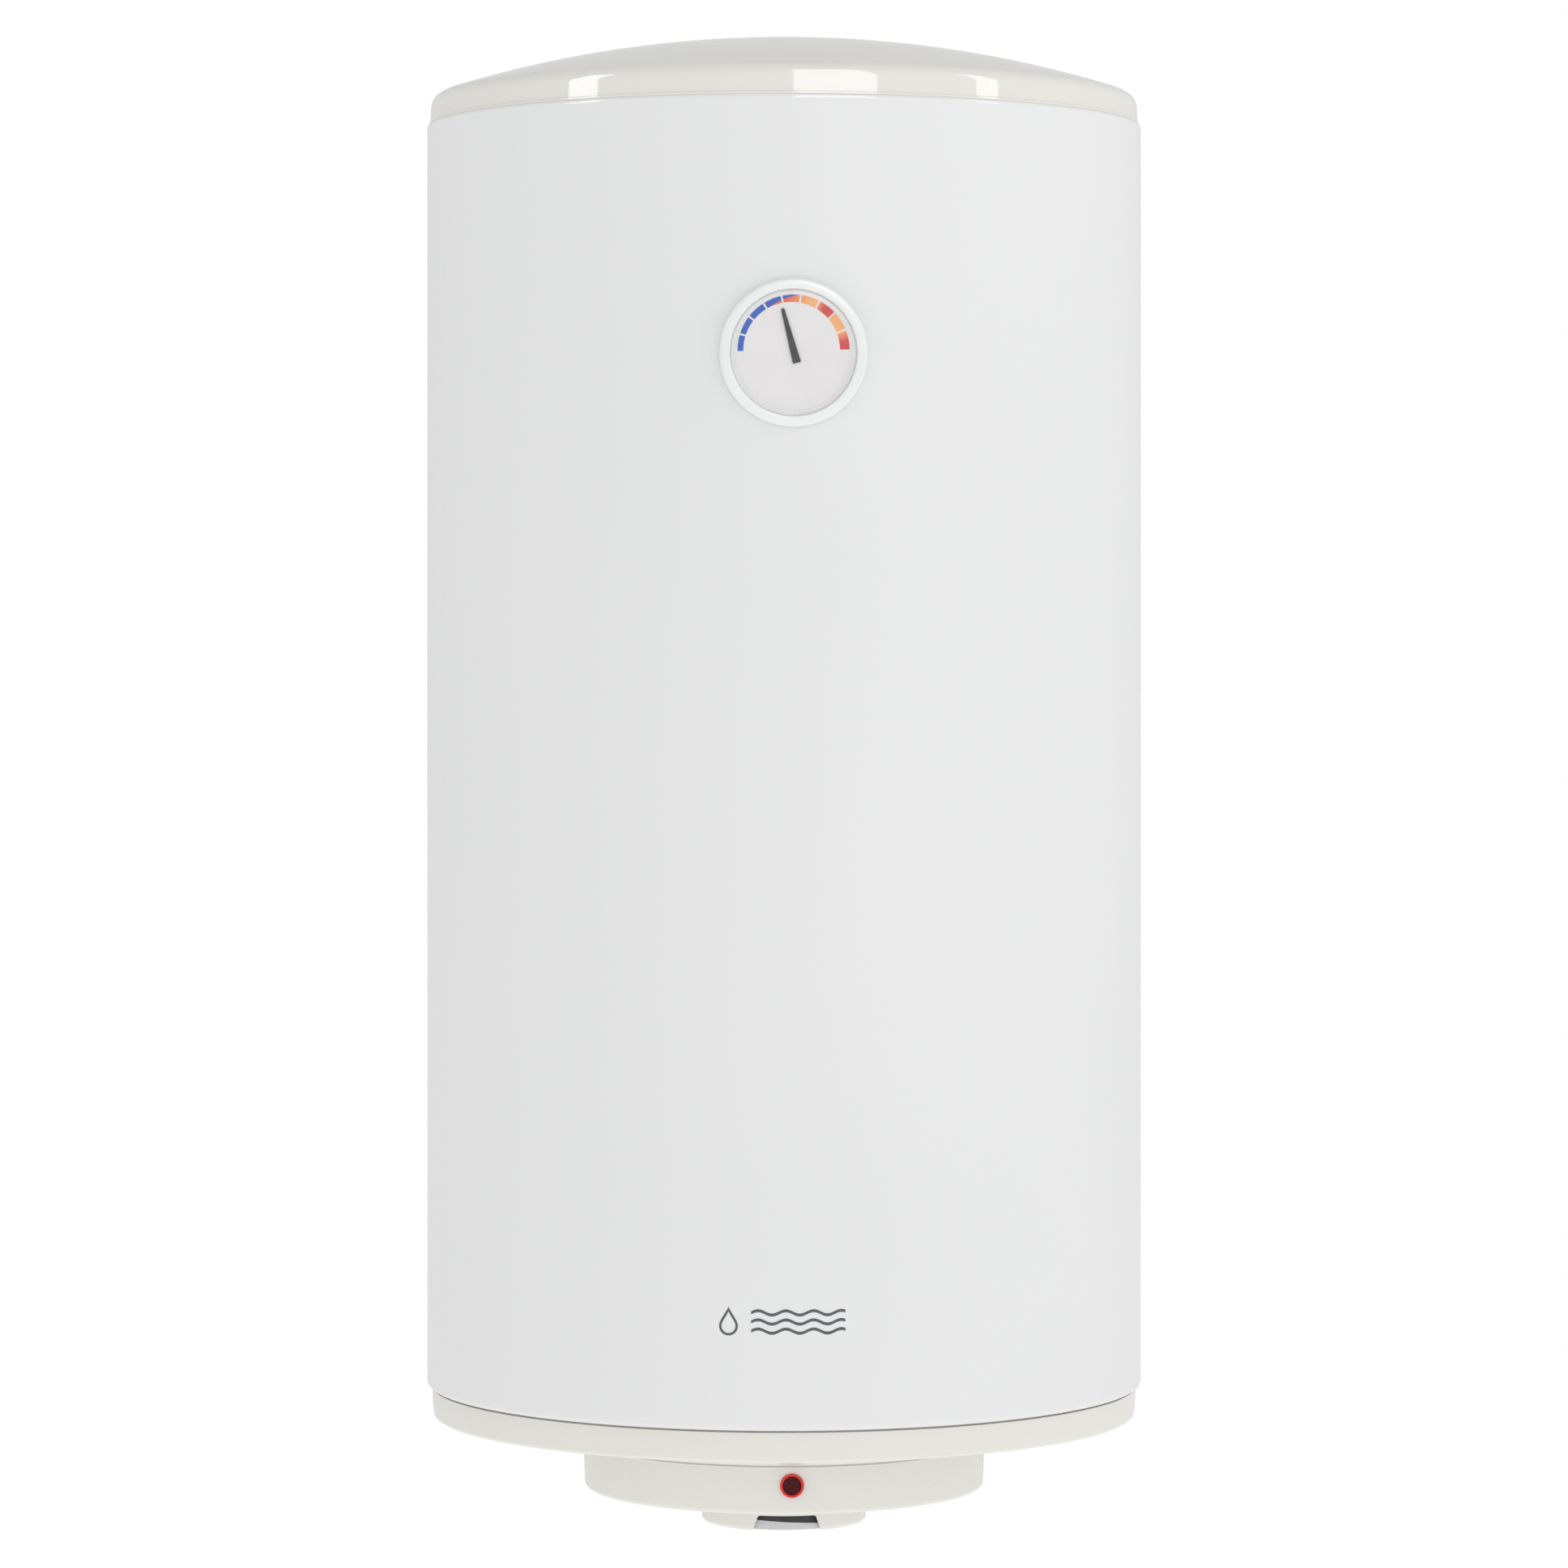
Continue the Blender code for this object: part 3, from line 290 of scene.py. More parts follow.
seam_width, seam_rise, seam_end = 0.009, 0.0014, 0.006
seam = block((seam_width, seam_rise, jacket_height - 2 * seam_end), 0.0005)
seam_place = Matrix.Translation((0.0, axis_y + jacket_radius, lower_edge + jacket_height / 2))
lock_seam = make_piece(seam, "jacket_lock_seam", seam_place, enamel)
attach(lock_seam, "heater")

# ---- Top cap ------------------------------------------------------------------------------------
# Injection-moulded lid in warm white plastic with a polished mould finish. A skirt plugs into the
# jacket, a thin lip covers the sheet's edge, and a low drafted wall rounds over into a shallow dome.
wall_thickness = 0.0025


def moulded_ivory(name, smoothest, dullest, wave):
    made, shader, at = shader_of(name)
    tint(shader, noise(at, 9.0), (0.782, 0.772, 0.732), (0.790, 0.780, 0.740))
    dull(shader, noise(at, 50.0, 3.0), smoothest, dullest)
    shader.inputs["IOR"].default_value = 1.52
    roughen(shader, noise(at, 45.0, 2.0), wave, 0.6)
    return made


polished_ivory = moulded_ivory("polished_ivory", 0.03, 0.06, 0.00002)
dome_radius, dome_top, rim_fillet, cap_wall = 0.705, 0.8453, 0.009, 0.2226
dome_middle = (0.0, dome_top - dome_radius)
fillet_x = cap_wall - rim_fillet
fillet_middle = (fillet_x, dome_middle[1] + sqrt((dome_radius - rim_fillet) ** 2 - fillet_x**2))
dome_edge = 90 - degrees(asin(fillet_x / (dome_radius - rim_fillet)))
skirt, skirt_foot, skirt_chamfer = 0.2216, jacket_height - 0.022, 0.0006
lip_x, lip_bead = jacket_radius - 0.0012, 0.0003
lip_foot = ((0.0016, 0.00010), (0.0008, -0.00002), (0.0004, -0.00012), (0.0, -0.00030))
profile = arc(dome_middle, dome_radius - wall_thickness, 90, dome_edge, 24)
profile += arc(fillet_middle, rim_fillet - wall_thickness, dome_edge, 0, 8)[1:]
profile += [(skirt - wall_thickness, jacket_height), (skirt - wall_thickness, skirt_foot)]
profile += [(skirt - skirt_chamfer, skirt_foot), (skirt, skirt_foot + skirt_chamfer)]
profile += [(skirt, jacket_height + 0.0001)]
profile += [(lip_x - x, jacket_height + h) for x, h in lip_foot]
profile += arc((lip_x - lip_bead, jacket_height + 3 * lip_bead), lip_bead, 0, 80, 5)
profile += [(cap_wall + 0.0005, jacket_height + 0.0014)]
profile += arc(fillet_middle, rim_fillet, 0, dome_edge, 16)
profile += arc(dome_middle, dome_radius, dome_edge, 90, 32)[1:]
profile[0] = (0.0, profile[0][1])
profile[-1] = (0.0, dome_top)
top_cap = make_piece(lathe(profile), "top_cap_shell", on_axis, polished_ivory)
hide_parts("top_cap")
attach(top_cap, "heater")

# ---- Bottom cap ---------------------------------------------------------------------------------
# The matching moulded dish: a short wall, a shallow cone that runs down to the electrical cover, a
# hatch round the tank's flange, flat pads for the two water pipes and two posts for the cover screws.
cone_tilt = 9.6
cone_slope = radians(cone_tilt)
cone_start = (0.2184, -0.0193)
cone_end = 0.1285
hatch, hatch_rim = 0.082, -0.006
pad_radius, pad_foot, pad_top, pad_edge = 0.020, -0.0350, -0.0254, 0.0008
pipe_x, pipe_y, pipe_hole, through = 0.050, 0.150, 0.0112, 0.02
post_x, post_radius, post_middle, post_length = 0.105, 0.005, -0.0475, 0.0290


def cone_height(radius):
    return cone_start[1] - (cone_start[0] - radius) * tan(cone_slope)


def carve(piece, tool, place, operation, crease=30):
    """Cuts a bmesh tool from a piece, or joins it on, and keeps the result as the piece's mesh."""
    bmesh.ops.transform(tool, matrix=place, verts=tool.verts)
    helper = bpy.data.objects.new("tool", shape_mesh(tool, "tool", crease))
    bpy.context.scene.collection.objects.link(helper)
    step = piece.modifiers.new("carve", "BOOLEAN")
    step.operation = operation
    step.object = helper
    step.solver = "EXACT"
    ready = piece.evaluated_get(bpy.context.evaluated_depsgraph_get())
    mesh = bpy.data.meshes.new_from_object(ready)
    piece.modifiers.clear()
    piece.data = mesh
    mesh.set_sharp_from_angle(angle=radians(crease))
    bpy.data.objects.remove(helper, do_unlink=True)


def bar(radius, length, sides=48):
    """A bmesh of a round bar along Z, turned a little so that its corners miss those of the piece."""
    bm = bmesh.new()
    turned = Matrix.Rotation(radians(1.7), 4, "Z")
    bmesh.ops.create_cone(
        bm, cap_ends=True, segments=sides, radius1=radius, radius2=radius, depth=length, matrix=turned
    )
    return bm


def at_height(x, y, height):
    """The place of a point given round the tank's axis."""
    return Matrix.Translation((x, axis_y + y, lower_edge + height))


satin_ivory = moulded_ivory("satin_ivory", 0.265, 0.275, 0.000002)
corner, edge_bead = 0.0028, 0.0006
spigot, spigot_inside, spigot_top, shoulder = 0.2200, 0.2183, 0.0240, -0.0009
corner_middle = (cone_start[0] - corner * sin(cone_slope) + 0.0002, cone_start[1] + corner)
floor_height = cone_height(cone_end)
profile = [(spigot + 0.0008, spigot_top), (spigot + 0.0004, 0.0020), (spigot, 0.0010), (spigot, shoulder)]
profile += arc((0.2213, shoulder - edge_bead), edge_bead, 90, 5, 6)
profile += arc(corner_middle, corner, 0, -90 + cone_tilt, 12)
profile += [(cone_end, floor_height), (hatch + 0.0010, floor_height), (hatch, floor_height + 0.0010)]
profile += [(hatch, hatch_rim), (hatch + wall_thickness, hatch_rim)]
profile += [(x, floor_height + wall_thickness) for x in (hatch + wall_thickness, cone_end)]
profile += [(cone_start[0] - wall_thickness, cone_start[1] + wall_thickness)]
profile += [(spigot_inside, 0.0), (spigot_inside, spigot_top)]
bottom_cap = make_piece(lathe(profile), "bottom_cap_shell", on_axis, satin_ivory)
pad_middle = (pad_foot + pad_top) / 2
pad = [(0.0, pad_foot), (pad_radius - pad_edge, pad_foot), (pad_radius, pad_foot + pad_edge)]
pad += [(pad_radius, pad_top), (0.0, pad_top)]
for x in (-pipe_x, pipe_x):
    pad_place = at_height(x, pipe_y, 0.0) @ Matrix.Rotation(radians(1.3), 4, "Z")
    carve(bottom_cap, lathe(pad, 64), pad_place, "UNION")
    carve(bottom_cap, bar(pipe_hole, 2 * through), at_height(x, pipe_y, pad_middle), "DIFFERENCE")
for x in (-post_x, post_x):
    carve(bottom_cap, bar(post_radius, post_length, 32), at_height(x, 0.0, post_middle), "UNION")
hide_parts("bottom_cap")
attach(bottom_cap, "heater")

# ---- Electrical cover ---------------------------------------------------------------------------
# A round moulded cover that hides the flange and the wiring. A small bead runs round its top edge, its
# wall is drafted, and a collar in the middle stands round the knob, with a window cut in the front.
bead, cover_top, cover_floor = 0.1274, -0.0354, -0.0649
cover_wall, cover_foot, cover_corner = 0.1267, 0.1257, 0.0032
collar, collar_bore, collar_floor, collar_corner = 0.0518, 0.0484, -0.0872, 0.0034
upstand, groove, root = cover_top + 0.0007, 0.0004, 0.0012
gland_y, gland_hole, screw_hole, spindle_hole = 0.092, 0.0084, 0.0023, 0.0072
lamp_x, lamp_front, lamp_height, lamp_hole = 0.0017, -0.1269, -0.0469, 0.0062


def plate(outline, depth, across):
    """A bmesh of a flat outline given thickness: across Y it is drawn in X and Z, across Z in X and Y."""
    bm = bmesh.new()
    if across == "Y":
        face = bm.faces.new([bm.verts.new((a, 0.0, b)) for a, b in outline])
        push = (0.0, depth, 0.0)
    else:
        face = bm.faces.new([bm.verts.new((a, b, 0.0)) for a, b in outline])
        push = (0.0, 0.0, depth)
    grown = bmesh.ops.extrude_face_region(bm, geom=[face])
    moved = [part for part in grown["geom"] if isinstance(part, bmesh.types.BMVert)]
    bmesh.ops.translate(bm, vec=push, verts=moved)
    return bm


profile = [(cover_wall - wall_thickness, upstand), (cover_wall - groove, upstand)]
profile += [(cover_wall - groove, cover_top)]
profile += arc((bead - edge_bead, cover_top - edge_bead), edge_bead, 90, -60, 10)
profile += [(cover_wall, cover_top - 0.0014), (cover_wall - 0.00002, cover_top - 0.0020)]
profile += [(cover_foot + 0.00002, cover_floor + cover_corner + wall_margin)]
profile += arc((cover_foot - cover_corner, cover_floor + cover_corner), cover_corner, 0, -90, 14)
profile += arc((collar + root, cover_floor - root), root, 90, 180, 6)
profile += arc((collar - collar_corner, collar_floor + collar_corner), collar_corner, 0, -84, 12)
profile += [(collar_bore, collar_floor + 0.0003), (collar_bore, cover_floor)]
profile += [(spindle_hole, cover_floor), (spindle_hole, cover_floor + wall_thickness)]
inside = cover_foot - wall_thickness
profile += [(inside - 0.001, cover_floor + wall_thickness), (inside, cover_floor + wall_thickness + 0.001)]
cover = make_piece(lathe(profile), "electrical_cover_shell", on_axis, satin_ivory)

window_top, window_foot, half_top, half_foot, window_corner = -0.0773, -0.0900, 0.0186, 0.0224, 0.0022
window_front, window_depth, window_turn = -0.064, 0.024, radians(0.7)
outline = [(-half_foot, window_foot), (half_foot, window_foot)]
outline += arc((half_top - window_corner, window_top - window_corner), window_corner, 0, 90, 8)
outline += arc((window_corner - half_top, window_top - window_corner), window_corner, 90, 180, 8)
in_front = Matrix.Translation((0.0, window_front, 0.0))
window_place = on_axis @ Matrix.Rotation(window_turn, 4, "Z") @ in_front
carve(cover, plate(outline, window_depth, "Y"), window_place, "DIFFERENCE")
facing_front = Matrix.Rotation(pi / 2, 4, "X")
carve(cover, bar(lamp_hole, through), at_height(lamp_x, lamp_front, lamp_height) @ facing_front, "DIFFERENCE")
carve(cover, bar(gland_hole, through), at_height(0.0, gland_y, cover_floor), "DIFFERENCE")
for x in (-post_x, post_x):
    carve(cover, bar(screw_hole, through, 32), at_height(x, 0.0, cover_floor), "DIFFERENCE")
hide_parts("electrical_cover")
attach(cover, "heater")

# ---- Cover screws -------------------------------------------------------------------------------
# Zinc-plated steel screws with a pan head and a cross recess. They hold the cover and are driven up
# through it into the bottom cap's two posts.


def zinc_plate():
    made, shader, at = shader_of("zinc_plate")
    tint(shader, noise(at, 160.0, 3.0), (0.52, 0.53, 0.54), (0.68, 0.68, 0.67))
    dull(shader, noise(at, 90.0, 4.0), 0.28, 0.46)
    shader.inputs["Metallic"].default_value = 1.0
    roughen(shader, noise(at, 600.0, 3.0), 0.00003, 0.5)
    return made


zinc = zinc_plate()
head_height, shank, shank_length = 0.0025, 0.0017, 0.0140
recess_width, recess_length, recess_depth, recess_turn = 0.0009, 0.0042, 0.0024, 0.5
upside_down = Matrix.Rotation(pi, 4, "X")
profile = [(0.0, -shank_length), (shank, 0.0015 - shank_length), (shank, 0.0)]
profile += [(0.0040, 0.0), (0.0041, 0.0004)]
profile += arc((0.0, -0.0028), 0.0053, 38, 90, 8)
profile[-1] = (0.0, head_height)
for side, x in (("left", -post_x), ("right", post_x)):
    screw_place = at_height(x, 0.0, cover_floor - 0.0003) @ upside_down
    screw = make_piece(lathe(profile, 48), f"cover_screw_{side}_cut", screw_place, zinc)
    for turn in (recess_turn, recess_turn + pi / 2):
        recess = block((recess_width, recess_length, recess_depth))
        recess_place = at_height(x, 0.0, cover_floor - head_height) @ Matrix.Rotation(turn, 4, "Z")
        carve(screw, recess, recess_place, "DIFFERENCE")
    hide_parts(f"cover_screw_{side}")
    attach(screw, "heater")

# ---- Temperature knob ---------------------------------------------------------------------------
# Light grey knob in the collar: a shallow cup with a finger bar across it, pressed on the thermostat's
# spindle. A black wedge printed round its rim passes the window and shows how hot it is set.


def grey_knob_plastic():
    made, shader, at = shader_of("grey_knob_plastic")
    tint(shader, noise(at, 30.0), (0.585, 0.585, 0.605), (0.625, 0.625, 0.645))
    dull(shader, noise(at, 200.0, 3.0), 0.30, 0.42)
    roughen(shader, noise(at, 1500.0, 2.0), 0.000004, 0.6)
    return made


def printed_ink(name, first, second, scale):
    """Screen-printed ink: nearly flat, with the slight unevenness of a thin coat."""
    made, shader, at = shader_of(name)
    tint(shader, noise(at, scale, 4.0), first, second)
    shader.inputs["Roughness"].default_value = 0.50
    roughen(shader, noise(at, 2500.0, 2.0), 0.00001, 0.5)
    return made


grey_plastic = grey_knob_plastic()
black_ink = printed_ink("black_ink", (0.022, 0.022, 0.024), (0.034, 0.034, 0.036), 300.0)
knob_radius, knob_top, knob_floor = 0.0472, cover_floor - 0.0030, cover_floor - 0.0219
profile = [(0.0, cover_floor - 0.0046), (0.0034, cover_floor - 0.0046), (0.0034, cover_floor - 0.0008)]
profile += [(0.0055, cover_floor - 0.0008), (0.0055, knob_top)]
profile += arc((knob_radius - 0.0008, knob_top - 0.0008), 0.0008, 90, 0, 5)
profile += arc((knob_radius - 0.0010, knob_floor + 0.0010), 0.0010, 0, -90, 6)
profile += arc((0.0448, knob_floor + 0.0008), 0.0008, -90, -180, 5)
profile += [(0.0432, cover_floor - 0.0082)] + arc((0.0420, cover_floor - 0.0082), 0.0012, 0, 90, 5)
profile += [(0.0, cover_floor - 0.0070)]
knob = make_piece(lathe(profile, 192), "knob_cup", on_axis, grey_plastic)

grip_width, grip_length, grip_height, grip_rounding = 0.0120, 0.0878, 0.0150, 0.0018
grip = block((grip_width, grip_length, grip_height), grip_rounding, 5)
carve(knob, grip, at_height(0.0, 0.0, cover_floor - 0.0134), "UNION")
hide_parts("temperature_knob")
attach(knob, "knob")

pointer = block((0.0016, 0.0180, 0.0004), 0.00015, 2)
pointer_place = at_height(0.0, -0.0315, cover_floor - 0.0210)
pointer_line = make_piece(pointer, "knob_pointer_line", pointer_place, black_ink)
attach(pointer_line, "knob")

wedge_top, wedge_middle, wedge_fall = -0.0752, -0.0818, 0.0026
thin_end, thick_end = radians(-174), radians(78)
ink = 0.00006


def wedge_foot(turn):
    """Height of the wedge's lower edge at an angle from the front, to the right: it falls steadily."""
    return wedge_middle - wedge_fall * turn


band = bmesh.new()
rail = [band.verts.new((0.0, -knob_radius - ink, height)) for height in (wedge_top, wedge_middle)]
edge = band.edges.new(rail)
bmesh.ops.rotate(band, cent=(0, 0, 0), matrix=Matrix.Rotation(thin_end, 3, "Z"), verts=rail)
bmesh.ops.spin(
    band, geom=rail + [edge], axis=(0, 0, 1), cent=(0, 0, 0), angle=thick_end - thin_end, steps=140
)
for vertex in band.verts:
    if vertex.co.z < wedge_top - 1e-4:
        turn = -Vector((0.0, -1.0)).angle_signed(vertex.co.xy)
        vertex.co.z = min(wedge_top - 0.0002, wedge_foot(turn))
bmesh.ops.solidify(band, geom=band.faces[:], thickness=ink)
wedge = make_piece(band, "knob_printed_wedge", on_axis, black_ink)
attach(wedge, "knob")

# ---- Pilot lamp ---------------------------------------------------------------------------------
# A pressed-in cap of transparent red plastic. The raised rim glows bright red, and the flat window
# inside it, ringed with fine lens ridges, looks dark because the neon lamp behind it is off.


def red_rim_plastic():
    made, shader, at = shader_of("red_rim_plastic")
    tint(shader, noise(at, 500.0), (0.78, 0.022, 0.018), (0.70, 0.016, 0.014))
    shader.inputs["Roughness"].default_value = 0.20
    return made


def dark_red_window():
    made, shader, at = shader_of("dark_red_window")
    tint(shader, noise(at, 800.0, 4.0), (0.050, 0.003, 0.004), (0.090, 0.005, 0.006))
    shader.inputs["Roughness"].default_value = 0.12
    shader.inputs["IOR"].default_value = 1.25
    return made


lamp_place = at_height(lamp_x, lamp_front, lamp_height) @ facing_front
rim_outer, rim_inner, rim_round, snap_depth = 0.0073, 0.0056, 0.00083, -0.0060
profile = [(rim_inner, snap_depth), (rim_inner, -0.0002)]
profile += arc((rim_outer - rim_round, 0.0007), rim_round, 170, 0, 12)
profile += [(rim_outer, 0.0), (rim_inner + 0.0003, 0.0), (rim_inner + 0.0003, snap_depth)]
lamp_rim = make_piece(lathe(profile, 96), "lamp_rim", lamp_place, red_rim_plastic())
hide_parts("lamp_lens")
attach(lamp_rim, "heater")

ridges, ridge_height, window_level, window_radius = 9, 0.00016, 0.0002, rim_inner - 0.0001
pitch = (window_radius - 0.0005) / ridges
profile = [(0.0, -0.0010), (window_radius, -0.0010), (window_radius, window_level)]
for i in range(ridges, 0, -1):
    profile += [(i * pitch, window_level), ((i - 0.5) * pitch, window_level + ridge_height)]
profile += [(0.0, window_level)]
lamp_window = make_piece(lathe(profile, 96), "lamp_window", lamp_place, dark_red_window(), 60)
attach(lamp_window, "heater")

# ---- Cable gland --------------------------------------------------------------------------------
# Black nylon gland for the supply cable: a thin flange against the cover, a ribbed clamping nut with a
# rounded nose, and a rubber seal in its mouth.


def black_nylon():
    made, shader, at = shader_of("black_nylon")
    tint(shader, noise(at, 200.0), (0.018, 0.018, 0.020), (0.030, 0.030, 0.032))
    dull(shader, noise(at, 300.0, 3.0), 0.34, 0.50)
    roughen(shader, noise(at, 1800.0, 3.0), 0.00003, 0.6)
    return made


def black_rubber():
    made, shader, at = shader_of("black_rubber")
    tint(shader, noise(at, 150.0, 5.0), (0.020, 0.020, 0.020), (0.045, 0.044, 0.042))
    dull(shader, noise(at, 250.0, 4.0), 0.62, 0.85)
    roughen(shader, noise(at, 900.0, 4.0), 0.00008, 0.7)
    return made


nylon = black_nylon()
rubber = black_rubber()
gland_place = at_height(0.0, gland_y, cover_floor - 0.0003)
profile = [(0.0058, -0.0030), (0.0058, 0.0118), (0.0080, 0.0118), (0.0080, 0.0)]
profile += [(0.0120, 0.0), (0.0120, -0.0020), (0.0114, -0.0026), (0.0090, -0.0026), (0.0090, -0.0030)]
gland_body = make_piece(lathe(profile, 64), "gland_body", gland_place, nylon)
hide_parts("cable_gland")
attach(gland_body, "heater")

nut_top, nut_shoulder, nut_nose, nut_ribs, rib_share = -0.0032, -0.0112, -0.0150, 16, 0.035
profile = [(0.0060, nut_top), (0.0112, nut_top), (0.0115, nut_top - 0.0004), (0.0115, nut_shoulder)]
profile += arc((0.0078, nut_shoulder), 0.0037, 0, -90, 10)[1:]
profile += [(0.0062, nut_nose + 0.0001), (0.0060, nut_nose + 0.0006)]
nut = lathe(profile, 96)
for vertex in nut.verts:
    reach = vertex.co.xy.length
    if reach > 0.0100:
        turn = Vector((1.0, 0.0)).angle_signed(vertex.co.xy)
        vertex.co.xy *= 1 - rib_share * (0.5 - 0.5 * cos(turn * nut_ribs))
gland_nut = make_piece(nut, "gland_clamping_nut", gland_place, nylon, 50)
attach(gland_nut, "heater")

profile = [(0.0045, -0.0030), (0.0057, -0.0030), (0.0057, -0.0144), (0.0051, -0.0146), (0.0045, -0.0138)]
gland_seal = make_piece(lathe(profile, 64), "gland_seal", gland_place, rubber)
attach(gland_seal, "heater")

# ---- Water pipes --------------------------------------------------------------------------------
# Half-inch steel stubs welded into the tank's lower head, with an outside pipe thread below the cap,
# and a ring round each at the pads: blue for the cold inlet, red for the hot outlet.
pipe_radius, pipe_bore, pipe_foot, pipe_top = 0.01045, 0.0080, -0.0580, 0.0450
thread_pitch, thread_depth, thread_end = 0.001814, 0.00100, -0.0400
thread_start_fade, thread_end_fade, rings_per_pitch = 0.0012, 0.0020, 6


def thread_bite(height, turn):
    """How deep the thread is cut at a height and an angle: a V groove that runs out at both ends."""
    phase = ((height - pipe_foot) / thread_pitch - turn / (2 * pi)) % 1.0
    groove = 1 - abs(2 * phase - 1)
    run_in = min(1.0, (height - pipe_foot) / thread_start_fade)
    run_out = min(1.0, max(0.0, (thread_end - height) / thread_end_fade))
    return thread_depth * groove * min(run_in, run_out)


for node, x in (("cold_inlet_stub", pipe_x), ("hot_outlet_stub", -pipe_x)):
    steps = int((thread_end - pipe_foot) / thread_pitch * rings_per_pitch)
    cut = [pipe_foot + (thread_end - pipe_foot) * i / steps for i in range(steps + 1)]
    profile = [(pipe_bore, pipe_top), (pipe_bore, pipe_foot + 0.0004), (pipe_bore + 0.0004, pipe_foot)]
    profile += [(pipe_radius - 0.0009, pipe_foot)] + [(pipe_radius, height) for height in cut]
    profile += [(pipe_radius, pipe_top)]
    stub = lathe(profile, 72)
    for vertex in stub.verts:
        reach = vertex.co.xy.length
        if reach > pipe_radius - 1e-5 and pipe_foot < vertex.co.z < thread_end:
            turn = Vector((1.0, 0.0)).angle_signed(vertex.co.xy)
            vertex.co.xy *= 1 - thread_bite(vertex.co.z, turn) / reach
    threaded = make_piece(stub, node.replace("stub", "thread"), at_height(x, pipe_y, 0.0), zinc, 50)
    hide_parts(node)
    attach(threaded, "heater")


def marking_plastic(name, first, second):
    """Glossy coloured plastic of the two marking rings."""
    made, shader, at = shader_of(name)
    tint(shader, noise(at, 120.0), first, second)
    dull(shader, noise(at, 260.0, 3.0), 0.22, 0.34)
    roughen(shader, noise(at, 1600.0, 2.0), 0.00002, 0.5)
    return made


blue_marking = marking_plastic("blue_marking", (0.020, 0.100, 0.52), (0.030, 0.130, 0.60))
red_marking = marking_plastic("red_marking", (0.56, 0.020, 0.018), (0.66, 0.032, 0.026))
ring_foot, ring_top = -0.0388, pad_foot - 0.0003
for node, x, finish, slot in (
    ("cold_pipe_ring", pipe_x, blue_marking, "blue_plastic"),
    ("hot_pipe_ring", -pipe_x, red_marking, "red_plastic"),
):
    profile = [(0.0110, ring_top), (0.0110, ring_foot + 0.0004), (0.0114, ring_foot)]
    profile += [(0.0140, ring_foot), (0.0144, ring_foot + 0.0005), (0.0156, ring_foot + 0.0005)]
    profile += [(0.0160, ring_foot), (0.0172, ring_foot)]
    profile += arc((0.0172, ring_foot + 0.0013), 0.0013, -90, 0, 6) + [(0.0185, ring_top)]
    ring_name = node.replace("pipe_ring", "marking_ring")
    ring = make_piece(lathe(profile, 72), ring_name, at_height(x, pipe_y, 0.0), finish)
    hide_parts(node)
    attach(ring, "heater")

# ---- Thermometer --------------------------------------------------------------------------------
# A white moulded bezel saddled on the jacket holds a clear domed lens over a printed dial. The needle
# turns on a thin arbor that a bimetal coil twists as the tank warms.
bezel_low, bezel_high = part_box("gauge_bezel")
gauge_middle = (bezel_low + bezel_high) / 2
gauge_middle.y = axis_y - jacket_radius
gauge_place = Matrix.Translation(gauge_middle) @ facing_front


def bezel_plastic():
    made, shader, at = shader_of("bezel_plastic")
    tint(shader, noise(at, 25.0), (0.830, 0.850, 0.850), (0.860, 0.875, 0.872))
    dull(shader, noise(at, 150.0, 4.0), 0.20, 0.28)
    roughen(shader, noise(at, 1400.0, 2.0), 0.000015, 0.4)
    return made


def clear_plastic():
    made, shader, at = shader_of("clear_plastic")
    shader.inputs["Base Color"].default_value = (0.99, 0.99, 0.99, 1.0)
    dull(shader, noise(at, 120.0, 3.0), 0.02, 0.05)
    shader.inputs["Transmission Weight"].default_value = 1.0
    shader.inputs["IOR"].default_value = 1.20
    return made


def dial_card():
    made, shader, at = shader_of("dial_card")
    tint(shader, noise(at, 60.0, 4.0), (0.758, 0.744, 0.750), (0.778, 0.764, 0.770))
    shader.inputs["Roughness"].default_value = 0.55
    roughen(shader, noise(at, 1800.0, 3.0), 0.00001, 0.5)
    return made


ring_radius, mouth, dial_seat = 0.0440, 0.0376, 0.0012
white_plastic = bezel_plastic()
profile = [(0.0405, 0.0005), (0.0405, 0.0), (ring_radius, 0.0), (ring_radius, 0.0030)]
profile += arc((ring_radius - 0.0026, 0.0030), 0.0026, 0, 78, 10)[1:]
profile += [(0.0404, 0.0057), (0.0394, 0.0057)]
profile += arc((0.0388, 0.0046), 0.0011, 80, 180, 8)
profile += [(mouth, dial_seat), (0.0300, dial_seat), (0.0300, 0.0005)]
bezel_shape = lathe(profile, 160)
for vertex in bezel_shape.verts:
    if vertex.co.z < 1e-5:
        vertex.co.z = sqrt((jacket_radius + 0.0002) ** 2 - vertex.co.x**2) - jacket_radius
bezel = make_piece(bezel_shape, "bezel_ring", gauge_place, white_plastic)
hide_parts("gauge_bezel")
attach(bezel, "heater")

lens_radius, lens_seat, lens_crown = 0.0373, 0.0024, 0.0047
profile = [(0.0, lens_crown - 0.0010), (0.0335, lens_crown - 0.0012)]
profile += arc((0.0335, lens_crown - 0.0022), 0.0010, 90, 10, 6)[1:]
profile += [(0.0350, lens_seat), (lens_radius, lens_seat), (lens_radius, lens_crown - 0.0014)]
profile += arc((lens_radius - 0.0012, lens_crown - 0.0014), 0.0012, 0, 80, 8)
profile += [(0.0340, lens_crown), (0.0, lens_crown + 0.0002)]
lens_shape = make_piece(lathe(profile, 160), "lens_window", gauge_place, clear_plastic())
lens_shape.visible_shadow = False
lens_shape.visible_diffuse = False
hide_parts("gauge_lens")
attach(lens_shape, "heater")

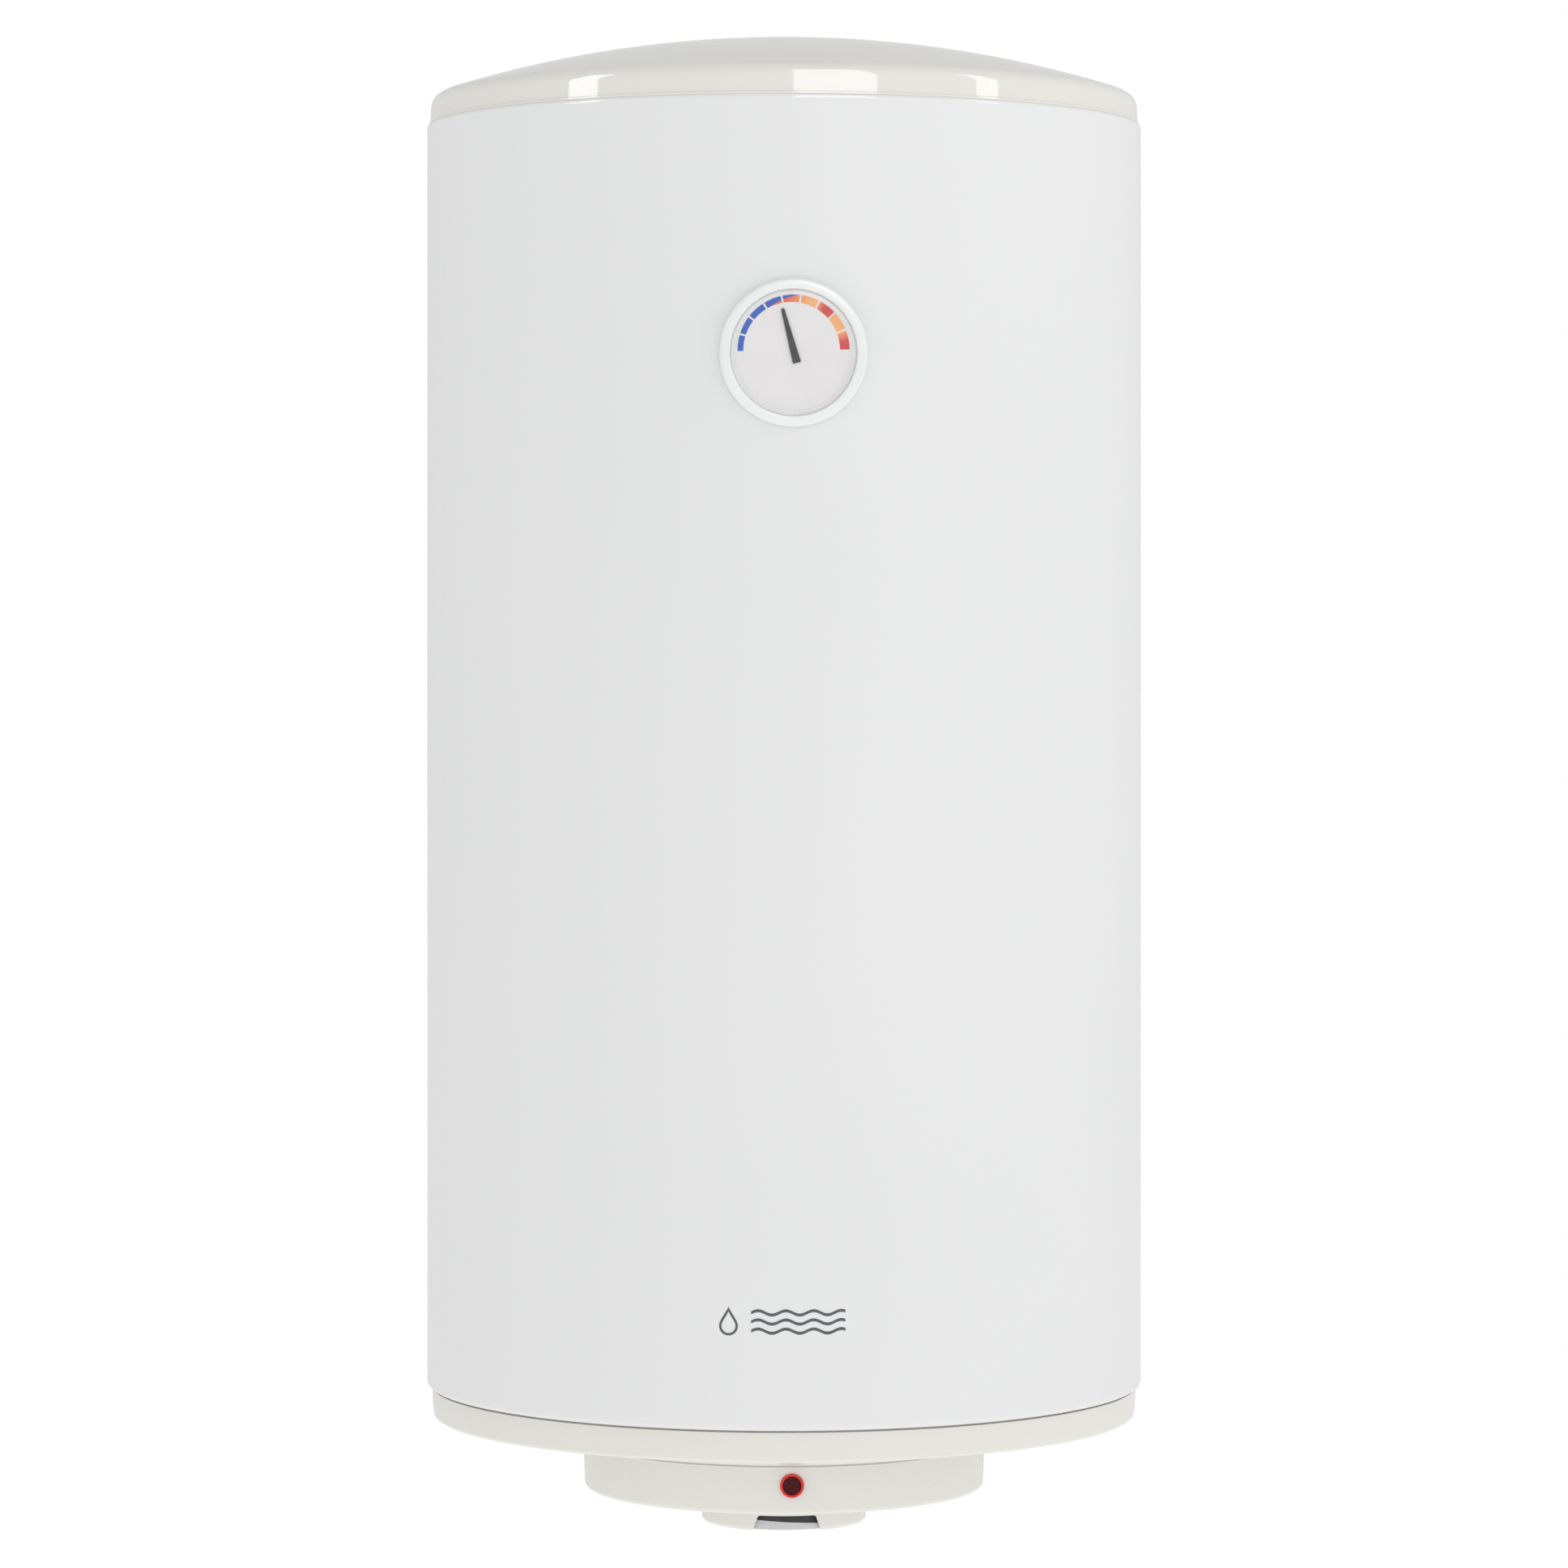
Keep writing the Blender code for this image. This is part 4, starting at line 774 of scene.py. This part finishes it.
dial_face = 0.0021
profile = [(0.0, dial_seat + 0.0003), (0.0368, dial_seat + 0.0003), (0.0368, dial_face - 0.0002)]
profile += [(0.0366, dial_face), (0.0, dial_face)]
dial = make_piece(lathe(profile, 128), "dial_disc", gauge_place, dial_card())
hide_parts("gauge_dial")
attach(dial, "heater")

# ---- Dial print ---------------------------------------------------------------------------------
# Nine segments over a half circle, screen-printed on the dial: blue where the water is cold, then a
# red sweep that rises from underneath, then orange and red. The band widens towards the hot end.
pivot_rise = 0.0014
scale_place = Matrix.Translation(gauge_middle + Vector((0, 0, pivot_rise))) @ facing_front
print_place = scale_place @ Matrix.Rotation(radians(0.9), 4, "Z")
scale_outer, scale_inner, inner_offset = 0.0331, 0.0286, 0.00113
gap_width, first_gap, gap_pitch = 0.0012, 17.7, 20.2
print_height = 0.00005


def inner_edge(turn):
    """Radius of the band's inner edge, a circle that sits a little to the cold side."""
    return sqrt(scale_inner**2 - (inner_offset * sin(turn)) ** 2) + inner_offset * cos(turn)


def scale_patch(first, last, low_share, high_share, steps=14):
    """A bmesh of one stretch of the band. Angles run from the cold end; shares cross the band's width."""
    bm = bmesh.new()
    before = None
    for i in range(steps + 1):
        turn = first + (last - first) * i / steps
        inner = inner_edge(turn)
        width = scale_outer - inner
        row = []
        for share in (low_share(turn), high_share(turn)):
            radius = inner + width * share
            row.append(bm.verts.new((-radius * cos(turn), radius * sin(turn), dial_face + print_height)))
        if before:
            bm.faces.new((before[0], before[1], row[1], row[0]))
        before = row
    bm.normal_update()
    return bm


def scale_ink():
    """Amber ink that turns red at the start of the hot stretch, in its middle and at its end."""
    made, shader, at = shader_of("scale_ink_hot")
    tree = made.node_tree
    mapping = tree.nodes.new("ShaderNodeMapping")
    mapping.vector_type = "TEXTURE"
    mapping.inputs["Location"].default_value = gauge_middle + Vector((0, 0, pivot_rise))
    mapping.inputs["Rotation"].default_value = (pi / 2, 0.0, 0.0)
    tree.links.new(at, mapping.inputs["Vector"])
    sweep = tree.nodes.new("ShaderNodeTexGradient")
    sweep.gradient_type = "RADIAL"
    tree.links.new(mapping.outputs["Vector"], sweep.inputs["Vector"])
    ramp = tree.nodes.new("ShaderNodeValToRGB")
    red, scarlet = (0.60, 0.055, 0.050), (0.72, 0.13, 0.06)
    orange, amber = (0.80, 0.27, 0.12), (0.87, 0.42, 0.16)
    stops = ((0.500, red), (0.528, red), (0.550, orange), (0.557, amber), (0.612, amber), (0.6145, scarlet))
    stops += ((0.630, red), (0.652, red), (0.6695, orange), (0.672, amber), (0.705, amber), (0.726, orange))
    stops += ((0.735, orange), (0.765, scarlet), (0.790, scarlet))
    ramp.color_ramp.elements[0].position, ramp.color_ramp.elements[0].color = 0.0, (*red, 1.0)
    ramp.color_ramp.elements[1].position, ramp.color_ramp.elements[1].color = 1.0, (*scarlet, 1.0)
    for place, colour in stops:
        ramp.color_ramp.elements.new(place).color = (*colour, 1.0)
    tree.links.new(sweep.outputs["Fac"], ramp.inputs["Fac"])
    tree.links.new(ramp.outputs["Color"], shader.inputs["Base Color"])
    shader.inputs["Roughness"].default_value = 0.45
    return made


blue_ink = printed_ink("scale_ink_cold", (0.024, 0.095, 0.44), (0.030, 0.105, 0.47), 200.0)
hot_ink = scale_ink()
hot_start, hot_rise, thinnest_turn = radians(61.0), radians(37.0), 0.005


def red_rise(turn):
    """Share of the band that is red: none up to the fourth segment, then all of it by the sixth."""
    return min(1.0, max(0.0, (turn - hot_start) / hot_rise)) ** 1.2


segments = 9
gaps = [radians(first_gap + gap_pitch * i) for i in range(segments - 1)]
half_gap = gap_width / 2 / scale_outer
starts = [0.0] + [gap + half_gap for gap in gaps]
stops = [gap - half_gap for gap in gaps] + [pi]
for number, (start, stop) in enumerate(zip(starts, stops), 1):
    parts = []
    if number <= 5:
        parts.append(("cold", red_rise, lambda turn: 1.0, blue_ink, "blue_plastic"))
    if number >= 4:
        parts.append(("hot", lambda turn: 0.0, red_rise, hot_ink, "red_plastic"))
    for word, low_share, high_share, finish, slot in parts:
        first = max(start, hot_start + thinnest_turn) if word == "hot" else start
        patch = scale_patch(first, stop, low_share, high_share)
        bmesh.ops.solidify(patch, geom=patch.faces[:], thickness=print_height)
        segment = make_piece(patch, f"scale_{word}_{number}", print_place, finish)
        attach(segment, "heater")

# ---- Needle -------------------------------------------------------------------------------------
# A flat black pointer, narrow at the tip and blunt at the tail, pressed on the arbor. It rests where
# the frame has it and swings about the arbor's own axis.
needle_turn = radians(14.9)
needle_place = scale_place @ Matrix.Rotation(needle_turn, 4, "Z")
needle_gap, needle_thickness = 0.0006, 0.0006
tail, tip, tail_half, tip_half, tail_corner = -0.0077, 0.0256, 0.0024, 0.0010, 0.0005
outline = arc((0.0, tip - tip_half), tip_half, 10, 170, 8)
outline += arc((tail_corner - tail_half, tail + tail_corner), tail_corner, 180, 270, 4)
outline += arc((tail_half - tail_corner, tail + tail_corner), tail_corner, 270, 360, 4)
over_dial = Matrix.Translation((0.0, 0.0, dial_face + needle_gap))
needle = make_piece(plate(outline, needle_thickness, "Z"), "needle_blade", needle_place @ over_dial, nylon)
rounded = needle.modifiers.new("rounded", "BEVEL")
rounded.width, rounded.segments, rounded.limit_method = 0.00012, 2, "ANGLE"
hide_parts("gauge_needle")
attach(needle, "needle")

# ---- Printed mark -------------------------------------------------------------------------------
# A plain water mark low on the front: an outlined drop and three waves beside it, screen-printed in
# dark grey ink on the enamel and bent round the jacket.
mark_height, mark_x, mark_ink_depth = 0.0649, -0.0056, 0.00005
drop_x, drop_fall = -0.0330, 0.0026
mark_ink = printed_ink("mark_ink", (0.085, 0.090, 0.100), (0.105, 0.110, 0.120), 150.0)


def wrap_on_jacket(bm, lift=0.00008):
    """Bends a flat drawing, X across and Z up, on to the front of the jacket."""
    for vertex in bm.verts:
        turn = (vertex.co.x + mark_x) / jacket_radius
        radius = jacket_radius + lift + vertex.co.y
        vertex.co = Vector((radius * sin(turn), -radius * cos(turn), vertex.co.z + mark_height))


drop, rims = bmesh.new(), []
for radius, climb_share in ((0.0056, 0.0058), (0.0042, 0.0046)):
    rim = bmesh.ops.create_circle(drop, segments=64, radius=radius, matrix=facing_front)["verts"]
    for vertex in rim:
        climb = vertex.co.z / radius
        if climb > 0:
            vertex.co.x *= (1 - climb) ** 0.75 * (1 + 0.9 * climb)
            vertex.co.z = radius * climb + climb_share * climb**2
        vertex.co.z -= drop_fall
    rims += {edge for vertex in rim for edge in vertex.link_edges}
bmesh.ops.bridge_loops(drop, edges=rims)
bmesh.ops.translate(drop, vec=(drop_x, 0.0, 0.0), verts=drop.verts)
wrap_on_jacket(drop)
bmesh.ops.solidify(drop, geom=drop.faces[:], thickness=mark_ink_depth)
mark_drop = make_piece(drop, "mark_drop", on_axis, mark_ink)
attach(mark_drop, "heater")

wave_length, wave_swing, stroke = 0.0165, 0.00125, 0.0018
start, length, wave_pitch, steps = -0.0195, 0.0560, 0.0054, 96
for number, rise in enumerate((wave_pitch, 0.0, -wave_pitch), 1):
    wave = bmesh.new()
    line = wave.edges.new([wave.verts.new((start, 0.0, rise + half)) for half in (-stroke / 2, stroke / 2)])
    for i in range(steps):
        grown = bmesh.ops.extrude_edge_only(wave, edges=[line])["geom"]
        moved = [part for part in grown if isinstance(part, bmesh.types.BMVert)]
        line = [part for part in grown if isinstance(part, bmesh.types.BMEdge)][0]
        bmesh.ops.translate(wave, vec=(length / steps, 0.0, 0.0), verts=moved)
    for vertex in wave.verts:
        vertex.co.z += wave_swing * sin((vertex.co.x - start) / wave_length * 2 * pi)
    wrap_on_jacket(wave)
    bmesh.ops.solidify(wave, geom=wave.faces[:], thickness=mark_ink_depth)
    mark_wave = make_piece(wave, f"mark_wave_{number}", on_axis, mark_ink)
    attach(mark_wave, "heater")

# ---- Wall bracket -------------------------------------------------------------------------------
# Three-millimetre zinc-plated steel: a flat rail against the wall with two upright slots for the wall
# hooks, and two bent legs whose feet follow the jacket and are bolted through it to the tank.
rail_low, rail_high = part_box("wall_bracket")
steel = 0.003
half_rail = (rail_high.x - rail_low.x) / 2
half_height = (rail_high.z - rail_low.z) / 2
wall_y = rail_high.y
foot_inside = jacket_radius + 0.0006
foot_outside = foot_inside + steel
foot_start, foot_end = radians(13), radians(27)
rounding = 0.004
corners = ((half_rail, -half_height, 270), (half_rail, half_height, 0), (-half_rail, half_height, 90),
           (-half_rail, -half_height, 180))
outline = []
for x, z, start in corners:
    middle = (x - rounding * (1 if x > 0 else -1), z - rounding * (1 if z > 0 else -1))
    outline += arc(middle, rounding, start, start + 90, 6)
rail_place = Matrix.Translation((0.0, wall_y - steel, 0.0))
rail = make_piece(plate(outline, steel, "Y"), "bracket_plate", rail_place, zinc)
fin_turn = asin((foot_outside * sin(foot_start) + steel) / foot_outside)
wall_from_axis, leg_step = wall_y - axis_y, 0.001
for side in (-1, 1):
    turns = [foot_start + (foot_end - foot_start) * i / 12 for i in range(13)]
    leg = [(foot_inside * sin(t), foot_inside * cos(t)) for t in turns]
    turns = [foot_end + (fin_turn - foot_end) * i / 10 for i in range(11)]
    leg += [(foot_outside * sin(t), foot_outside * cos(t)) for t in turns]
    fin = foot_outside * sin(fin_turn)
    leg += [(fin, wall_from_axis - steel / 2), (fin - steel, wall_from_axis - steel / 2)]
    leg = [(side * x, y) for x, y in leg]
    leg_place = Matrix.Translation((0.0, axis_y, leg_step - half_height))
    carve(rail, plate(leg, 2 * (half_height - leg_step), "Z"), leg_place, "UNION")
half_slot, slot_radius = 0.007, 0.006
for slot_x in (-0.098, 0.098):
    outline = arc((slot_x, half_slot), slot_radius, 0, 180, 16)
    outline += arc((slot_x, -half_slot), slot_radius, 180, 360, 16)
    slot_place = Matrix.Translation((0.0, wall_y - through / 2, 0.0))
    carve(rail, plate(outline, through, "Y"), slot_place, "DIFFERENCE")
softened = rail.modifiers.new("softened", "BEVEL")
softened.width, softened.segments = 0.0004, 2
softened.limit_method, softened.angle_limit = "ANGLE", radians(50)
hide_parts("wall_bracket")
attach(rail, "heater")

# ---- Bracket bolts ------------------------------------------------------------------------------
# Zinc-plated M8 hexagon bolts with a chamfered head, each on a plain washer. They pass through the
# bracket's feet and the jacket and are screwed into bosses on the tank's wall.
bolt_turn, bolt_rise, head_radius, head_depth = radians(21.5), 0.014, 0.0072, 0.0040
washer_edge, washer_depth = 0.0080, 0.0012
washer = [(0.0, 0.0), (washer_edge - 0.0002, 0.0), (washer_edge, 0.0002)]
washer += [(washer_edge, washer_depth - 0.0002), (washer_edge - 0.0002, washer_depth), (0.0, washer_depth)]
thread = [(0.0, -0.0265), (0.0036, -0.0265), (0.0040, -0.0261), (0.0040, -0.0002), (0.0, -0.0002)]
spots = [(turn, rise) for turn in (-bolt_turn, bolt_turn) for rise in (-bolt_rise, bolt_rise)]
for number, (turn, rise) in enumerate(spots, 1):
    outward = Vector((sin(turn), cos(turn), 0.0))
    seat = Vector((0.0, axis_y, rise)) + outward * (foot_outside + 0.0002)
    place = Matrix.Translation(seat) @ Vector((0, 0, 1)).rotation_difference(outward).to_matrix().to_4x4()
    head = bmesh.new()
    lift = Matrix.Translation((0.0, 0.0, washer_depth + 0.0002 + head_depth / 2))
    bmesh.ops.create_cone(
        head, cap_ends=True, segments=6, radius1=head_radius, radius2=head_radius,
        depth=head_depth, matrix=lift,
    )
    rims = [edge for edge in head.edges if abs(edge.verts[0].co.z - edge.verts[1].co.z) < 1e-6]
    bmesh.ops.bevel(head, geom=rims, offset=0.0006, segments=2, profile=0.5, affect="EDGES", material=-1)
    bolt = make_piece(head, f"bracket_bolt_{number}_head", place, zinc)
    disc = make_piece(lathe(washer, 48), f"bracket_bolt_{number}_washer", place, zinc)
    stem = make_piece(lathe(thread, 32), f"bracket_bolt_{number}_stem", place, zinc)
    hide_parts(f"bracket_bolt_{number}")
    for part in (bolt, disc, stem):
        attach(part, "heater")

# ---- Wall spacers -------------------------------------------------------------------------------
# Two black rubber buffers low on the back that keep the heater upright on the wall. They are moulded,
# hollowed in front to fit the jacket, with a rounded rear edge.
spacer_x, hollow_depth, rear_edge = 0.06, 0.014, 0.0015
for side, x in (("left", -spacer_x), ("right", spacer_x)):
    spacer_low, spacer_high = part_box(f"wall_spacer_{side}")
    radius = (spacer_high.x - spacer_low.x) / 2
    height = (spacer_high.z + spacer_low.z) / 2
    front = axis_y + jacket_radius - hollow_depth
    depth = spacer_high.y - front
    profile = [(radius * share, 0.0) for share in (0.0, 0.35, 0.7, 1.0)] + [(radius, depth - rear_edge)]
    profile += arc((radius - rear_edge, depth - rear_edge), rear_edge, 0, 90, 6)[1:]
    profile += [(0.0055, depth), (0.0050, depth - 0.0030), (0.0, depth - 0.0030)]
    buffer = lathe(profile, 96)
    for vertex in buffer.verts:
        if vertex.co.z < 1e-6:
            across = vertex.co.x + x
            vertex.co.z = axis_y + sqrt((jacket_radius + 0.0003) ** 2 - across**2) - front
    back = Matrix.Translation((x, front, height)) @ Matrix.Rotation(-pi / 2, 4, "X")
    spacer = make_piece(buffer, f"rubber_buffer_{side}", back, rubber)
    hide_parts(f"wall_spacer_{side}")
    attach(spacer, "heater")

# ---- Inner pieces -------------------------------------------------------------------------------
# What the casing hides keeps the frame's own shapes: tank, foam, flange, element, anode, thermostat and
# wires. Each only gets the finish of what it is made of.


def poured_foam():
    made, shader, at = shader_of("poured_foam")
    tint(shader, noise(at, 25.0, 5.0), (0.80, 0.66, 0.34), (0.88, 0.78, 0.48))
    shader.inputs["Roughness"].default_value = 0.92
    roughen(shader, noise(at, 300.0, 6.0), 0.0006, 0.8)
    return made


def fired_glass_enamel():
    made, shader, at = shader_of("fired_glass_enamel")
    tint(shader, noise(at, 350.0, 6.0), (0.012, 0.035, 0.050), (0.045, 0.100, 0.120))
    dull(shader, noise(at, 60.0, 3.0), 0.14, 0.30)
    roughen(shader, noise(at, 180.0, 3.0), 0.0001, 0.5)
    return made


def drawn_copper():
    made, shader, at = shader_of("drawn_copper")
    tint(shader, noise(at, 80.0, 5.0), (0.62, 0.30, 0.18), (0.82, 0.46, 0.31))
    dull(shader, noise(at, 200.0, 3.0, (1.0, 1.0, 0.05)), 0.22, 0.40)
    shader.inputs["Metallic"].default_value = 1.0
    return made


def cast_magnesium():
    made, shader, at = shader_of("cast_magnesium")
    tint(shader, noise(at, 220.0, 6.0), (0.40, 0.40, 0.39), (0.60, 0.60, 0.58))
    shader.inputs["Roughness"].default_value = 0.62
    shader.inputs["Metallic"].default_value = 0.9
    roughen(shader, noise(at, 500.0, 5.0), 0.0002, 0.8)
    return made


finishes = {
    "pu_foam": poured_foam(),
    "tank_enamel": fired_glass_enamel(),
    "zinc_steel": zinc,
    "copper": drawn_copper(),
    "magnesium": cast_magnesium(),
    "rubber": rubber,
    "white_plastic": white_plastic,
    "grey_plastic": grey_plastic,
    "black_plastic": nylon,
    "red_plastic": red_marking,
    "brown_wire": marking_plastic("brown_insulation", (0.15, 0.060, 0.025), (0.20, 0.080, 0.035)),
    "blue_wire": marking_plastic("blue_insulation", (0.020, 0.090, 0.42), (0.030, 0.120, 0.50)),
    "earth_wire": marking_plastic("earth_insulation", (0.24, 0.42, 0.03), (0.34, 0.52, 0.05)),
}
for part in frame["record"]["subparts"]:
    node = frame["nodes"][part["node"]]
    if not node.hide_render:
        for socket in node.material_slots:
            socket.material = finishes[part["material_slot"]]
